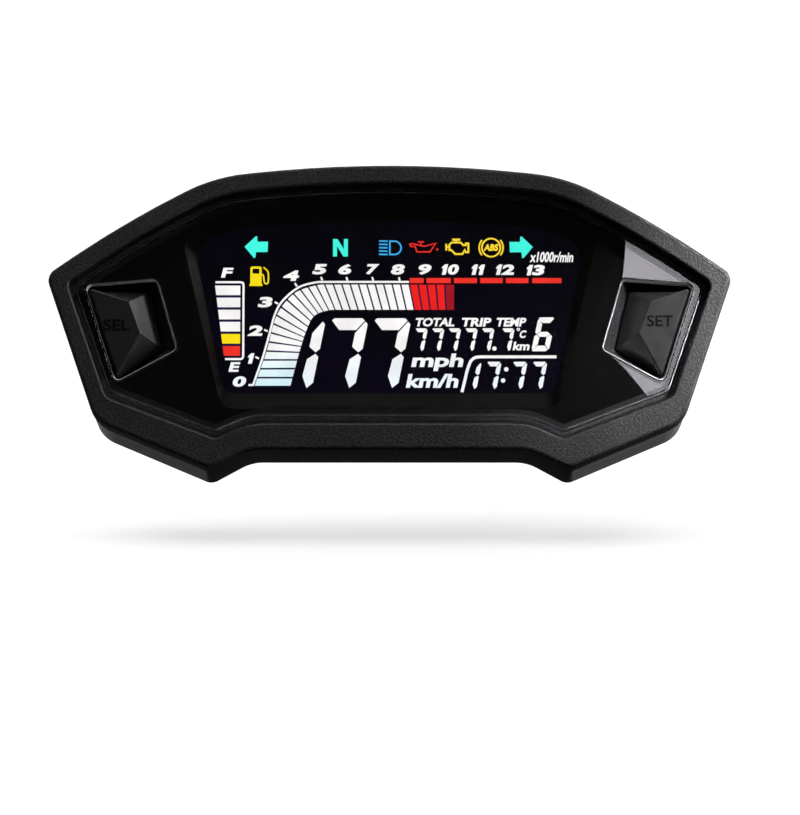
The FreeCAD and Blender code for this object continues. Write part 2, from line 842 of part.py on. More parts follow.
# ----------------------------------------------------------------------- keys
# Faceted cap: flat top near the outer edge, facets falling to the well, a
# flange that stops it from leaving the well, and a stem over the switch.
for side, tag in ((1, "right"), (-1, "left")):
    sign = "" if side > 0 else "-"
    base = polygon_outline(f"cap_base_{tag}", polygon_corners(KEY_BASE, side))
    move_to_depth(base, "dims.key_base_depth")
    top = polygon_outline(f"cap_top_{tag}", polygon_corners(KEY_TOP, side))
    move_to_depth(top, "dims.key_top_depth")
    facets = ruled_solid(f"cap_facets_{tag}", top, base)
    flat_base = doc.getObject(f"key_base_{tag}")
    skirt = slab(f"cap_skirt_{tag}", flat_base, "dims.key_base_depth", "dims.key_back")
    flange_edge = doc.addObject("Part::Offset2D", f"flange_edge_{tag}")
    flange_edge.Source = flat_base
    flange_edge.Value = size["key_flange_margin"]
    bind(flange_edge, "Value", "dims.key_flange_margin")
    flange = slab(f"cap_flange_{tag}", flange_edge,
                  "dims.key_flange_front", "dims.key_flange_back")
    core_edge = inset(f"core_edge_{tag}", flat_base, "dims.key_wall_thick")
    core = slab(f"cap_core_{tag}", core_edge, "dims.key_core_front", "dims.key_back")
    stem = rod(f"cap_stem_{tag}", f"{sign}dims.switch_x", "dims.switch_z",
               "dims.stem_radius", "dims.key_core_front - 1", "dims.stem_back")
    shell = cut(f"cap_shell_{tag}", fuse(f"cap_outer_{tag}", [facets, skirt, flange]), [core])
    whole = fuse(f"cap_whole_{tag}", [shell, stem])
    doc.recompute()
    ridges = []
    for index, edge in enumerate(whole.Shape.Edges, 1):
        box = edge.BoundBox
        at_top = abs(box.YMin - size["key_top_depth"]) < 1e-4
        if at_top and box.YMax < size["key_base_depth"] + 1e-4:
            ridges.append(index)
    cap = round_edges(f"cap_rounded_{tag}", whole, [(ridges, "key_edge_radius")])
    piece(f"keycap_{tag}", cap)

# -------------------------------------------------------------- key switches
housing = new_body("switch_housings", "-dims.switch_x", "dims.switch_front", "dims.switch_z")
square = body_sketch(housing, "switch_square")
draw_rectangle(square, ZERO, ZERO, dim("switch_side"), dim("switch_side"))
switch_box = pad(housing, "switch_box", square, "dims.board_front - dims.switch_front")
bore_circle = body_sketch(housing, "switch_bore_circle")
draw_circle(bore_circle, ZERO, ZERO, dim("switch_bore_radius"))
switch_bore = pocket(housing, "switch_bore", bore_circle, "dims.switch_bore_depth")
grid(housing, "switch_pair", [switch_box, switch_bore],
     [("X_Axis", "dims.switch_x * 2", 2, False)])

legs = new_body("switch_terminals", "-dims.switch_x", "dims.board_front", "dims.switch_z")
foot_sketch = body_sketch(legs, "leg_foot_outline")
draw_rectangle(foot_sketch, ("-dims.switch_side / 2 - 0.7", -size["switch_side"] / 2 - 0.7),
               ("-dims.switch_side / 3", -size["switch_side"] / 3), ("1.4", 1.4), ("0.8", 0.8))
leg_foot = pad(legs, "leg_foot", foot_sketch, "0.3", inward=False)
grid(legs, "leg_grid", [leg_foot], [
    ("X_Axis", "dims.switch_side + 1.4", 2, False),
    ("Z_Axis", "dims.switch_side * 2 / 3", 2, False),
    ("X_Axis", "dims.switch_x * 2", 2, False),
])

for side, tag in ((1, "right"), (-1, "left")):
    sign = "" if side > 0 else "-"
    plunger = new_body(f"plunger_{tag}", f"{sign}dims.switch_x", "dims.plunger_front",
                       "dims.switch_z")
    disc = body_sketch(plunger, f"plunger_circle_{tag}")
    draw_circle(disc, ZERO, ZERO, dim("plunger_radius"))
    pad(plunger, f"plunger_pin_{tag}", disc, "dims.plunger_length")

# ------------------------------------------------------------- display stack
layer("lcd_front_polarizer", POLARIZER, "dims.lcd_front - dims.polarizer_thick",
      "dims.polarizer_thick")
layer("lcd_front_glass", GLASS, "dims.lcd_front", "dims.glass_thick")
layer("lcd_rear_glass", REAR_GLASS, "dims.lcd_front + dims.glass_thick", "dims.glass_thick")
layer("lcd_rear_polarizer", DIFFUSER, "dims.lcd_front + 2 * dims.glass_thick",
      "dims.polarizer_thick")
layer("diffuser_plate", DIFFUSER, "dims.shelf_depth - dims.diffuser_thick",
      "dims.diffuser_thick")

gasket = new_body("lcd_gasket", "0", "dims.floor_back", "0")
gasket_sketch = body_sketch(gasket, "gasket_outline")
draw_polygon(gasket_sketch, mirrored_polygon(GLASS))
inner_corners = []
for x_formula, z_formula, x, z in mirrored_polygon(POLARIZER):
    grow_x = "+ dims.gasket_inset" if x > 0 else "- dims.gasket_inset"
    grow_z = "+ dims.gasket_inset" if z > 0 else "- dims.gasket_inset"
    step = size["gasket_inset"]
    inner_corners.append((
        f"{x_formula} {grow_x}",
        f"{z_formula} {grow_z}",
        x + (step if x > 0 else -step),
        z + (step if z > 0 else -step),
    ))
draw_polygon(gasket_sketch, inner_corners)
pad(gasket, "gasket_frame", gasket_sketch, "dims.lcd_front - dims.floor_back")

# Frame that centres the stack, closes the light box and guides the strips.
holder_edge = polygon_outline("holder_edge", mirrored_polygon(HOLDER))
holder_block = slab("holder_block", holder_edge, "dims.holder_front", "dims.board_front")
glass_edge = polygon_outline("glass_edge", mirrored_polygon(GLASS))
glass_room = inset("glass_room", glass_edge, "dims.holder_gap", outward=True)
glass_void = slab("glass_void", glass_room, "dims.holder_front", "dims.shelf_depth")
light_edge = polygon_outline("light_edge", mirrored_polygon(LIGHTBOX))
light_void = slab("light_void", light_edge, "dims.shelf_depth", "dims.board_front")
slots = []
for level in ("lower", "upper"):
    slots.append(block(f"zebra_slot_{level}", "0", f"dims.zebra_{level}_z",
                       f"dims.zebra_{level}_length + 2 * dims.holder_gap",
                       "dims.zebra_width + 2 * dims.holder_gap",
                       "dims.shelf_depth", "dims.board_front"))
holder = cut("holder_open", holder_block, [glass_void, light_void] + slots)
piece("lcd_holder", holder)

# Elastomer strips that carry the signals from the board to the front glass.
strips = []
for level in ("lower", "upper"):
    strips.append(block(f"zebra_{level}", "0", f"dims.zebra_{level}_z",
                        f"dims.zebra_{level}_length", "dims.zebra_width",
                        "dims.lcd_front + dims.glass_thick", "dims.board_front"))
zebra = doc.addObject("Part::Compound", "zebra_pair")
zebra.Links = strips
piece("zebra_strips", zebra)

leds = new_body("backlight_leds", "-2 * dims.led_pitch_x", "dims.board_front",
                "-dims.led_pitch_z / 2")
led_square = body_sketch(leds, "led_square")
draw_rectangle(led_square, ZERO, ZERO, dim("led_side"), dim("led_side"))
led_block = pad(leds, "led_block", led_square, "dims.led_thick", inward=False)
grid(leds, "led_grid", [led_block], [
    ("X_Axis", "dims.led_pitch_x", 5, False),
    ("Z_Axis", "dims.led_pitch_z", 2, False),
])

# -------------------------------------------------------------- circuit board
board_edge = inset("board_edge", rim_outline, "dims.board_inset")
board_blank = slab("board_blank", board_edge, "dims.board_front", "dims.board_back")
board_holes = []
for side, tag in ((1, "right"), (-1, "left")):
    sign = "" if side > 0 else "-"
    for level in ("upper", "lower"):
        board_holes.append(rod(f"board_hole_{tag}_{level}", f"{sign}dims.screw_x",
                               f"dims.screw_{level}_z", "dims.board_hole_radius",
                               "dims.board_front", "dims.board_back"))
board = cut("board_drilled", board_blank, board_holes)
piece("circuit_board", board)


def board_part(label, prefix, width, height, thick, edge="0"):
    """Rectangular package on the rear of the board, with softened top edges."""
    body = new_body(label, f"dims.{prefix}_x", "dims.board_back", f"dims.{prefix}_z")
    outline = body_sketch(body, f"{label}_outline")
    draw_rectangle(outline, ZERO, ZERO, dim(width), dim(height))
    block_feature = pad(body, f"{label}_block", outline, f"dims.{thick}")
    if edge != "0":
        top = [f"Edge{i}" for i in edges_where(block_feature.Shape, flat_at(size[thick]))]
        soften = body.newObject("PartDesign::Chamfer", f"{label}_chamfer")
        soften.Base = (block_feature, top)
        bind(soften, "Size", edge)
        doc.recompute()
    return body


board_part("microcontroller", "chip", "chip_side", "chip_side", "chip_thick", "0.25")
board_part("power_inductor", "inductor", "inductor_side", "inductor_side", "inductor_thick", "0.9")
board_part("transient_diode", "diode", "diode_length", "diode_width", "diode_thick", "0.4")

leads = new_body("microcontroller_leads", "dims.chip_x", "dims.board_back", "dims.chip_z")
lead_sketch = body_sketch(leads, "lead_outline")
lead_start = size["chip_side"] / 2 + size["lead_reach"] / 2
lead_row = -size["lead_pitch"] * (size["lead_count"] - 1) / 2
draw_rectangle(lead_sketch,
               ("dims.lead_pitch * (1 - dims.lead_count) / 2", lead_row),
               ("-(dims.chip_side + dims.lead_reach) / 2", -lead_start),
               dim("lead_width"), dim("lead_reach"))
lead = pad(leads, "lead_foot", lead_sketch, "0.3")
lead_transform = leads.newObject("PartDesign::MultiTransform", "lead_ring")
lead_transform.Originals = [lead]
lead_row_pattern = linear_pattern(leads, "lead_row", "X_Axis", "dims.lead_pitch",
                                  int(size["lead_count"]))
lead_turn = leads.newObject("PartDesign::PolarPattern", "lead_turn")
lead_turn.Axis = (origin_feature(leads, "Y_Axis"), [""])
lead_turn.Angle = 360
lead_turn.Occurrences = 4
lead_transform.Transformations = [lead_row_pattern, lead_turn]
leads.Tip = lead_transform
doc.recompute()

# Metal-can crystal with rounded ends.
crystal = new_body("crystal", "dims.crystal_x", "dims.board_back", "dims.crystal_z")
crystal_outline = body_sketch(crystal, "crystal_outline")
draw_rectangle(crystal_outline, ZERO, ZERO, dim("crystal_length"), dim("crystal_width"))
can = pad(crystal, "crystal_can", crystal_outline, "dims.crystal_thick")
uprights = [f"Edge{i}" for i in edges_where(can.Shape, lambda box: box.YLength > 3)]
can_ends = crystal.newObject("PartDesign::Fillet", "crystal_ends")
can_ends.Base = (can, uprights)
bind(can_ends, "Radius", "dims.crystal_width / 2 - 0.05")
doc.recompute()

# Regulator: moulded body with a metal tab on the board side.
regulator = new_body("voltage_regulator", "dims.regulator_x", "dims.board_back",
                     "dims.regulator_z")
tab = body_sketch(regulator, "regulator_tab_outline")
draw_rectangle(tab, ZERO, ("dims.regulator_length / 2 + 0.6", size["regulator_length"] / 2 + 0.6),
               ("dims.regulator_width * 0.8", size["regulator_width"] * 0.8), ("2.4", 2.4))
pad(regulator, "regulator_tab", tab, "0.5")
mould = body_sketch(regulator, "regulator_mould_outline")
draw_rectangle(mould, ZERO, ZERO, dim("regulator_width"), dim("regulator_length"))
pad(regulator, "regulator_mould", mould, "dims.regulator_thick")
pin_sketch = body_sketch(regulator, "regulator_pin_outline")
draw_rectangle(pin_sketch, ("-2.28", -2.28),
               ("-dims.regulator_length / 2 - 1", -size["regulator_length"] / 2 - 1),
               ("0.8", 0.8), ("2.4", 2.4))
pin = pad(regulator, "regulator_pin", pin_sketch, "0.5")
grid(regulator, "regulator_pins", [pin], [("X_Axis", "2.28", 3, False)])

# Electrolytic capacitors: square base, round can with a rolled shoulder.
capacitors = new_body("capacitors", "dims.capacitor_x", "dims.board_back", "dims.capacitor_z")
cap_profile = body_sketch(capacitors, "capacitor_profile", "XY_Plane")
radius = size["capacitor_radius"]
height = size["capacitor_height"]
draw_polygon(cap_profile, [
    ("0", "0", 0, 0),
    ("dims.capacitor_radius", "0", radius, 0),
    ("dims.capacitor_radius", "0.9", radius, 0.9),
    ("dims.capacitor_radius - 0.25", "1.2", radius - 0.25, 1.2),
    ("dims.capacitor_radius", "1.5", radius, 1.5),
    ("dims.capacitor_radius", "dims.capacitor_height - 0.4", radius, height - 0.4),
    ("dims.capacitor_radius - 0.4", "dims.capacitor_height", radius - 0.4, height),
    ("0", "dims.capacitor_height", 0, height),
])
can_turn = revolve(capacitors, "capacitor_can", cap_profile, "V_Axis")
grid(capacitors, "capacitor_row", [can_turn], [("X_Axis", "dims.capacitor_pitch", 2, False)])

chips = new_body("chip_parts", "dims.chip_part_x", "dims.board_back", "dims.chip_part_z")
chip_outline = body_sketch(chips, "chip_part_outline")
draw_rectangle(chip_outline, ZERO, ZERO, dim("chip_part_length"), dim("chip_part_width"))
chip = pad(chips, "chip_part", chip_outline, "dims.chip_part_thick")
grid(chips, "chip_part_grid", [chip], [
    ("X_Axis", "dims.chip_part_pitch_x", 4, False),
    ("Z_Axis", "dims.chip_part_pitch_z", 6, False),
])

# Header on the board and the plug that ends the internal wires.
header = new_body("board_header", "dims.cable_x", "dims.board_back", "dims.cable_z")
header_outline = body_sketch(header, "header_outline")
draw_rectangle(header_outline, ZERO, ZERO, dim("header_width"), dim("header_length"))
pad(header, "header_block", header_outline, "dims.header_thick")
header_room = body_sketch(header, "header_room_outline", lift="-dims.header_thick")
draw_rectangle(header_room, ZERO, ZERO,
               ("dims.header_width - 2 * dims.header_wall",
                size["header_width"] - 2 * size["header_wall"]),
               ("dims.header_length - 2 * dims.header_wall",
                size["header_length"] - 2 * size["header_wall"]))
pocket(header, "header_room", header_room, "dims.header_plug_thick", inward=False)

wire_plug = new_body("board_plug", "dims.cable_x",
                     "dims.board_back + dims.header_thick - dims.header_plug_thick",
                     "dims.cable_z")
wire_plug_outline = body_sketch(wire_plug, "board_plug_outline")
draw_rectangle(wire_plug_outline, ZERO, ZERO,
               ("dims.header_width - 2 * dims.header_wall - 0.1",
                size["header_width"] - 2 * size["header_wall"] - 0.1),
               ("dims.header_length - 2 * dims.header_wall - 0.1",
                size["header_length"] - 2 * size["header_wall"] - 0.1))
pad(wire_plug, "board_plug_block", wire_plug_outline, "dims.header_plug_thick + 0.9")

leads_depth = "dims.board_back + dims.header_thick + 0.9"
board_wires = new_body("board_wires", "dims.cable_x - dims.lead_wire_pitch / 2", leads_depth,
                       "dims.cable_z - dims.lead_wire_pitch * 1.5")
board_wire_circle = body_sketch(board_wires, "board_wire_circle")
draw_circle(board_wire_circle, ZERO, ZERO, dim("lead_wire_radius"))
board_wire = pad(board_wires, "board_wire", board_wire_circle,
                 f"dims.cable_start_depth - ({leads_depth})")
grid(board_wires, "board_wire_grid", [board_wire], [
    ("X_Axis", "dims.lead_wire_pitch", 2, False),
    ("Z_Axis", "dims.lead_wire_pitch", 4, False),
])

# --------------------------------------------------------------- case seal
seal_outer = inset("seal_outer", rim_outline, "dims.tongue_inset")
seal_inner = inset("seal_inner", rim_outline, "dims.seal_inside")
seal_block = slab("seal_block", seal_outer, "dims.tongue_back", "dims.seal_back")
seal_void = slab("seal_void", seal_inner, "dims.tongue_back", "dims.seal_back")
seal = cut("seal_ring", seal_block, [seal_void])
piece("case_seal", seal)

# -------------------------------------------------------------- rear housing
# Drafted shell with a socket for the tongue, four board columns, a raised
# mounting pad with three insert bosses, a cable hole and a vent hole.
shell_front = inset("shell_front", rim_outline, "dims.housing_front_inset")
move_to_depth(shell_front, "dims.rim_depth")
shell_back = rounded_outline("shell_back", BACK)
move_to_depth(shell_back, "dims.wall_back")
shell_block = ruled_solid("shell_block", shell_front, shell_back)
doc.recompute()
shell_edges = edges_where(shell_block.Shape, flat_at(size["wall_back"]))
shell_soft = round_edges("shell_soft", shell_block, [(shell_edges, "housing_edge_radius")])
socket_edge = inset("socket_edge", rim_outline, "dims.socket_inset")
socket_void = slab("socket_void", socket_edge, "dims.rim_depth", "dims.seal_back")
pocket_edge = inset("pocket_edge", rim_outline, "dims.pocket_inset")
pocket_void = slab("pocket_void", pocket_edge, "dims.seal_back", "dims.wall_front")
shell_hollow = cut("shell_hollow", shell_soft, [socket_void, pocket_void])

hump_edge = polygon_outline("hump_edge", mirrored_polygon(HUMP))
hump_block = slab("hump_block", hump_edge, "dims.wall_front", "dims.hump_back")
doc.recompute()
hump_uprights = edges_where(hump_block.Shape, lambda box: box.YLength > 1)
hump_corners = round_edges("hump_corners", hump_block, [(hump_uprights, "hump_corner_radius")])
hump_rear = edges_where(hump_corners.Shape, flat_at(size["hump_back"]))
hump_soft = round_edges("hump_soft", hump_corners, [(hump_rear, "hump_edge_radius")])
hump_inner = inset("hump_inner", hump_edge, "dims.hump_wall")
hump_void = slab("hump_void", hump_inner, "dims.wall_front", "dims.hump_inside")

housing_solids = []
housing_bores = [hump_void]
for side, tag in ((1, "right"), (-1, "left")):
    sign = "" if side > 0 else "-"
    for level in ("upper", "lower"):
        x = f"{sign}dims.screw_x"
        z = f"dims.screw_{level}_z"
        housing_solids.append(rod(f"column_{tag}_{level}", x, z, "dims.column_radius",
                                  "dims.board_back", "dims.wall_front"))
        housing_bores.append(rod(f"column_bore_{tag}_{level}", x, z, "dims.clearance_radius",
                                 "dims.board_back", "dims.wall_back"))
        housing_bores.append(rod(f"counterbore_{tag}_{level}", x, z, "dims.counterbore_radius",
                                 "dims.screw_seat_depth", "dims.wall_back"))
mount_columns = []
insert_bores = []
for index in range(int(size["mount_count"])):
    angle = 90 + 120 * index
    x = f"dims.mount_pcd / 2 * cos({angle} deg)"
    z = f"dims.mount_pcd / 2 * sin({angle} deg)"
    mount_columns.append(rod(f"mount_column_{index}", x, z, "dims.mount_boss_radius",
                             "dims.wall_front", "dims.mount_depth"))
    insert_bores.append(rod(f"insert_bore_{index}", x, z, "dims.insert_radius",
                            "dims.insert_front", "dims.mount_depth"))
# Stiffening ribs on the inside of the rear wall, either side of the pad.
ribs = []
for side, tag in ((1, "right"), (-1, "left")):
    sign = "" if side > 0 else "-"
    for step in range(2):
        ribs.append(block(f"rib_{tag}_{step}", f"{sign}(42 + {step} * dims.rib_pitch)",
                          "6", "dims.rib_thick", "16",
                          "dims.wall_front - dims.rib_depth", "dims.wall_front"))
cable_hole = rod("cable_hole", "dims.cable_x", "dims.cable_z", "dims.grommet_hole_radius",
                 "dims.wall_front - 3", "dims.wall_back")
vent_hole = rod("vent_hole", "dims.vent_x", "dims.vent_z", "dims.vent_neck_radius",
                "dims.wall_front - 3", "dims.wall_back")
housing_joined = fuse("housing_joined", [shell_hollow, hump_soft] + housing_solids + ribs)
housing_open = cut("housing_open", housing_joined, housing_bores + [cable_hole, vent_hole])
housing_mounts = fuse("housing_mounts", [housing_open] + mount_columns)
rear_housing = cut("rear_housing_shape", housing_mounts, insert_bores)
piece("rear_housing", rear_housing)

# ---------------------------------------------------------------- case screws
screws = new_body("case_screws", "-dims.screw_x", "dims.screw_seat_depth", "dims.screw_lower_z")
screw_profile = body_sketch(screws, "screw_profile", "XY_Plane")
shank = size["screw_radius"]
length = size["screw_length"]
head = size["screw_head_radius"]
head_height = size["screw_head_height"]
draw_polygon(screw_profile, [
    ("0", "-dims.screw_length", 0, -length),
    ("dims.screw_radius - 0.7", "-dims.screw_length + 0.3", shank - 0.7, -length + 0.3),
    ("dims.screw_radius", "-dims.screw_length + 1.8", shank, -length + 1.8),
    ("dims.screw_radius", "0", shank, 0),
    ("dims.screw_head_radius", "0", head, 0),
    ("dims.screw_head_radius", "dims.screw_head_height * 0.5", head, head_height * 0.5),
    ("dims.screw_head_radius * 0.75", "dims.screw_head_height * 0.88", head * 0.75, head_height * 0.88),
    ("dims.screw_head_radius * 0.4", "dims.screw_head_height", head * 0.4, head_height),
    ("0", "dims.screw_head_height", 0, head_height),
])
screw_turn = revolve(screws, "screw_turn", screw_profile, "V_Axis")
cross = []
for index, (wide, tall) in enumerate((("3.0", "0.75"), ("0.75", "3.0"))):
    arm = body_sketch(screws, f"cross_arm_{index}", lift="-dims.screw_head_height")
    draw_rectangle(arm, ZERO, ZERO, (wide, float(wide)), (tall, float(tall)))
    cross.append(pocket(screws, f"cross_slot_{index}", arm, "1.2", inward=False))
grid(screws, "screw_grid", [screw_turn] + cross, [
    ("X_Axis", "dims.screw_x * 2", 2, False),
    ("Z_Axis", "dims.screw_upper_z - dims.screw_lower_z", 2, False),
])

# --------------------------------------------------------- mounting hardware
inserts = new_body("mount_inserts", "0", "dims.insert_front", "0")
insert_profile = body_sketch(inserts, "insert_profile", "YZ_Plane")
bind(insert_profile, ".AttachmentOffset.Base.y", "dims.mount_pcd / 2")
depth = size["mount_depth"] - size["insert_front"]
bore = size["insert_bore_radius"]
outer = size["insert_radius"]
draw_polygon(insert_profile, [
    ("0", "dims.insert_bore_radius", 0, bore),
    ("dims.mount_depth - dims.insert_front", "dims.insert_bore_radius", depth, bore),
    ("dims.mount_depth - dims.insert_front", "dims.insert_radius", depth, outer),
    ("6.4", "dims.insert_radius", 6.4, outer),
    ("6.0", "dims.insert_radius - 0.35", 6.0, outer - 0.35),
    ("4.6", "dims.insert_radius - 0.35", 4.6, outer - 0.35),
    ("4.2", "dims.insert_radius", 4.2, outer),
    ("0.5", "dims.insert_radius", 0.5, outer),
    ("0", "dims.insert_radius - 0.4", 0, outer - 0.4),
])
insert_turn = revolve(inserts, "insert_turn", insert_profile, "H_Axis")
around_mount(inserts, "insert_ring", [insert_turn])

dampers = new_body("mount_dampers", "0", "dims.mount_depth", "0")
damper_profile = body_sketch(dampers, "damper_profile", "YZ_Plane")
bind(damper_profile, ".AttachmentOffset.Base.y", "dims.mount_pcd / 2")
thick = size["damper_thick"]
bore = size["damper_bore_radius"]
outer = size["damper_radius"]
edge = size["damper_edge"]
draw_polygon(damper_profile, [
    ("0", "dims.damper_bore_radius", 0, bore),
    ("dims.damper_thick", "dims.damper_bore_radius", thick, bore),
    ("dims.damper_thick", "dims.damper_radius - dims.damper_edge", thick, outer - edge),
    ("dims.damper_thick - dims.damper_edge", "dims.damper_radius", thick - edge, outer),
    ("dims.damper_edge", "dims.damper_radius", edge, outer),
    ("0", "dims.damper_radius - dims.damper_edge", 0, outer - edge),
])
damper_turn = revolve(dampers, "damper_turn", damper_profile, "H_Axis")
around_mount(dampers, "damper_ring", [damper_turn])

# Steel sleeves inside the rings stop the rubber from being crushed.
collars = new_body("mount_collars", "0", "dims.mount_depth", "0")
collar_profile = body_sketch(collars, "collar_profile", "YZ_Plane")
bind(collar_profile, ".AttachmentOffset.Base.y", "dims.mount_pcd / 2")
collar_length = size["collar_length"]
draw_polygon(collar_profile, [
    ("0", "dims.collar_bore_radius", 0, size["collar_bore_radius"]),
    ("dims.collar_length", "dims.collar_bore_radius", collar_length, size["collar_bore_radius"]),
    ("dims.collar_length", "dims.collar_radius", collar_length, size["collar_radius"]),
    ("0", "dims.collar_radius", 0, size["collar_radius"]),
])
collar_turn = revolve(collars, "collar_turn", collar_profile, "H_Axis")
around_mount(collars, "collar_ring", [collar_turn])

# ---------------------------------------------------------- cable and harness
grommet = new_body("cable_grommet", "dims.cable_x", "dims.wall_back", "dims.cable_z")
grommet_profile = body_sketch(grommet, "grommet_profile", "XY_Plane")
inner_r = size["cable_radius"]
neck_r = size["grommet_neck_radius"]
flange_r = size["grommet_flange_radius"]
tail_r = size["grommet_tail_radius"]
wall_t = size["wall_back"] - size["wall_front"]
draw_polygon(grommet_profile, [
    ("dims.cable_radius", "dims.wall_front - dims.wall_back - 1.2", inner_r, -wall_t - 1.2),
    ("dims.grommet_neck_radius + 0.9", "dims.wall_front - dims.wall_back - 1.2",
     neck_r + 0.9, -wall_t - 1.2),
    ("dims.grommet_neck_radius + 0.9", "dims.wall_front - dims.wall_back",
     neck_r + 0.9, -wall_t),
    ("dims.grommet_neck_radius", "dims.wall_front - dims.wall_back", neck_r, -wall_t),
    ("dims.grommet_neck_radius", "0", neck_r, 0),
    ("dims.grommet_flange_radius", "0", flange_r, 0),
    ("dims.grommet_flange_radius", "1.2", flange_r, 1.2),
    ("dims.grommet_tail_radius + 0.5", "1.8", tail_r + 0.5, 1.8),
    ("dims.grommet_tail_radius", "5.0", tail_r, 5.0),
    ("dims.cable_radius", "5.0", inner_r, 5.0),
])
revolve(grommet, "grommet_turn", grommet_profile, "V_Axis")

cable = new_body("cable_sheath", "dims.cable_x", "dims.cable_start_depth", "dims.cable_z")
start = size["cable_straight"]
bend = size["cable_bend_radius"]
rise = size["cable_rise"]
spine = body_sketch(cable, "cable_spine", "YZ_Plane")
spine.addGeometry([
    Part.LineSegment(Vector(0, 0, 0), Vector(start, 0, 0)),
    Part.ArcOfCircle(Part.Circle(Vector(start, bend, 0), Vector(0, 0, 1), bend),
                     -math.pi / 2, 0),
    Part.LineSegment(Vector(start + bend, bend, 0), Vector(start + bend, bend + rise, 0)),
], False)
spine.addConstraint([
    Sketcher.Constraint("Coincident", 0, 1, -1, 1),
    Sketcher.Constraint("Horizontal", 0),
    Sketcher.Constraint("Tangent", 0, 2, 1, 1),
    Sketcher.Constraint("Tangent", 1, 2, 2, 1),
    Sketcher.Constraint("Vertical", 2),
])
for rule, formula in (
    (Sketcher.Constraint("DistanceX", 0, 1, 0, 2, start), "dims.cable_straight"),
    (Sketcher.Constraint("Radius", 1, bend), "dims.cable_bend_radius"),
    (Sketcher.Constraint("DistanceY", 2, 1, 2, 2, rise), "dims.cable_rise"),
):
    bind(spine, f"Constraints[{spine.addConstraint(rule)}]", formula)
jacket = body_sketch(cable, "cable_section")
draw_circle(jacket, ZERO, ZERO, dim("cable_radius"))
doc.recompute()
pipe = cable.newObject("PartDesign::AdditivePipe", "cable_pipe")
pipe.Profile = jacket
pipe.Spine = (spine, ["Edge1", "Edge2", "Edge3"])
cable.Tip = pipe
doc.recompute()

# Loose wires between the end of the sheath and the harness plug.
cable_top = "dims.cable_z + dims.cable_bend_radius + dims.cable_rise"
cable_depth = "dims.cable_start_depth + dims.cable_straight + dims.cable_bend_radius"
wires = new_body("harness_wires", "dims.cable_x - dims.wire_pitch / 2 * 1.5",
                 f"{cable_depth} - dims.wire_pitch / 2", cable_top)
wire_circle = body_sketch(wires, "wire_circle", "XY_Plane")
draw_circle(wire_circle, ZERO, ZERO, dim("wire_radius"))
doc.recompute()
wire = wires.newObject("PartDesign::Pad", "wire")
wire.Profile = wire_circle
bind(wire, "Length", "dims.wire_length")
doc.recompute()
grid(wires, "wire_grid", [wire], [
    ("X_Axis", "dims.wire_pitch / 2", 4, False),
    ("Y_Axis", "dims.wire_pitch", 2, False),
])

plug = new_body("harness_connector", "dims.cable_x", cable_depth,
                f"{cable_top} + dims.wire_length")
plug_outline = body_sketch(plug, "plug_outline", "XY_Plane")
draw_rectangle(plug_outline, ZERO, ZERO, dim("plug_width"), dim("plug_depth"))
doc.recompute()
plug_block = plug.newObject("PartDesign::Pad", "plug_block")
plug_block.Profile = plug_outline
bind(plug_block, "Length", "dims.plug_height")
doc.recompute()
plug_uprights = [f"Edge{i}" for i in edges_where(plug_block.Shape, lambda box: box.ZLength > 5)]
plug_round = plug.newObject("PartDesign::Fillet", "plug_round")
plug_round.Base = (plug_block, plug_uprights)
bind(plug_round, "Radius", "1.2")
doc.recompute()
mouth = body_sketch(plug, "plug_mouth_outline", "XY_Plane", "dims.plug_height")
draw_rectangle(mouth, ZERO, ZERO,
               ("dims.plug_width - 2 * dims.plug_wall", size["plug_width"] - 2 * size["plug_wall"]),
               ("dims.plug_depth - 2 * dims.plug_wall", size["plug_depth"] - 2 * size["plug_wall"]))
pocket(plug, "plug_mouth", mouth, "dims.plug_mouth_depth")
latch = body_sketch(plug, "latch_outline", "XY_Plane", "dims.plug_height - dims.plug_latch_height")
draw_rectangle(latch, ZERO, ("(dims.plug_depth + dims.plug_latch_thick) / 2",
                             (size["plug_depth"] + size["plug_latch_thick"]) / 2),
               dim("plug_latch_width"), dim("plug_latch_thick"))
doc.recompute()
latch_pad = plug.newObject("PartDesign::Pad", "latch")
latch_pad.Profile = latch
bind(latch_pad, "Length", "dims.plug_latch_height")
doc.recompute()

# Pin terminals standing in the mouth of the plug.
plug_floor = f"{cable_top} + dims.wire_length + dims.plug_height - dims.plug_mouth_depth"
terminals = new_body("connector_terminals", "dims.cable_x - dims.terminal_pitch_x * 1.5",
                     f"{cable_depth} - dims.terminal_pitch_z / 2", plug_floor)
terminal_square = body_sketch(terminals, "terminal_square", "XY_Plane")
draw_rectangle(terminal_square, ZERO, ZERO, dim("terminal_side"), dim("terminal_side"))
doc.recompute()
terminal = terminals.newObject("PartDesign::Pad", "terminal")
terminal.Profile = terminal_square
bind(terminal, "Length", "dims.terminal_length")
doc.recompute()
grid(terminals, "terminal_grid", [terminal], [
    ("X_Axis", "dims.terminal_pitch_x", 4, False),
    ("Y_Axis", "dims.terminal_pitch_z", 2, False),
])

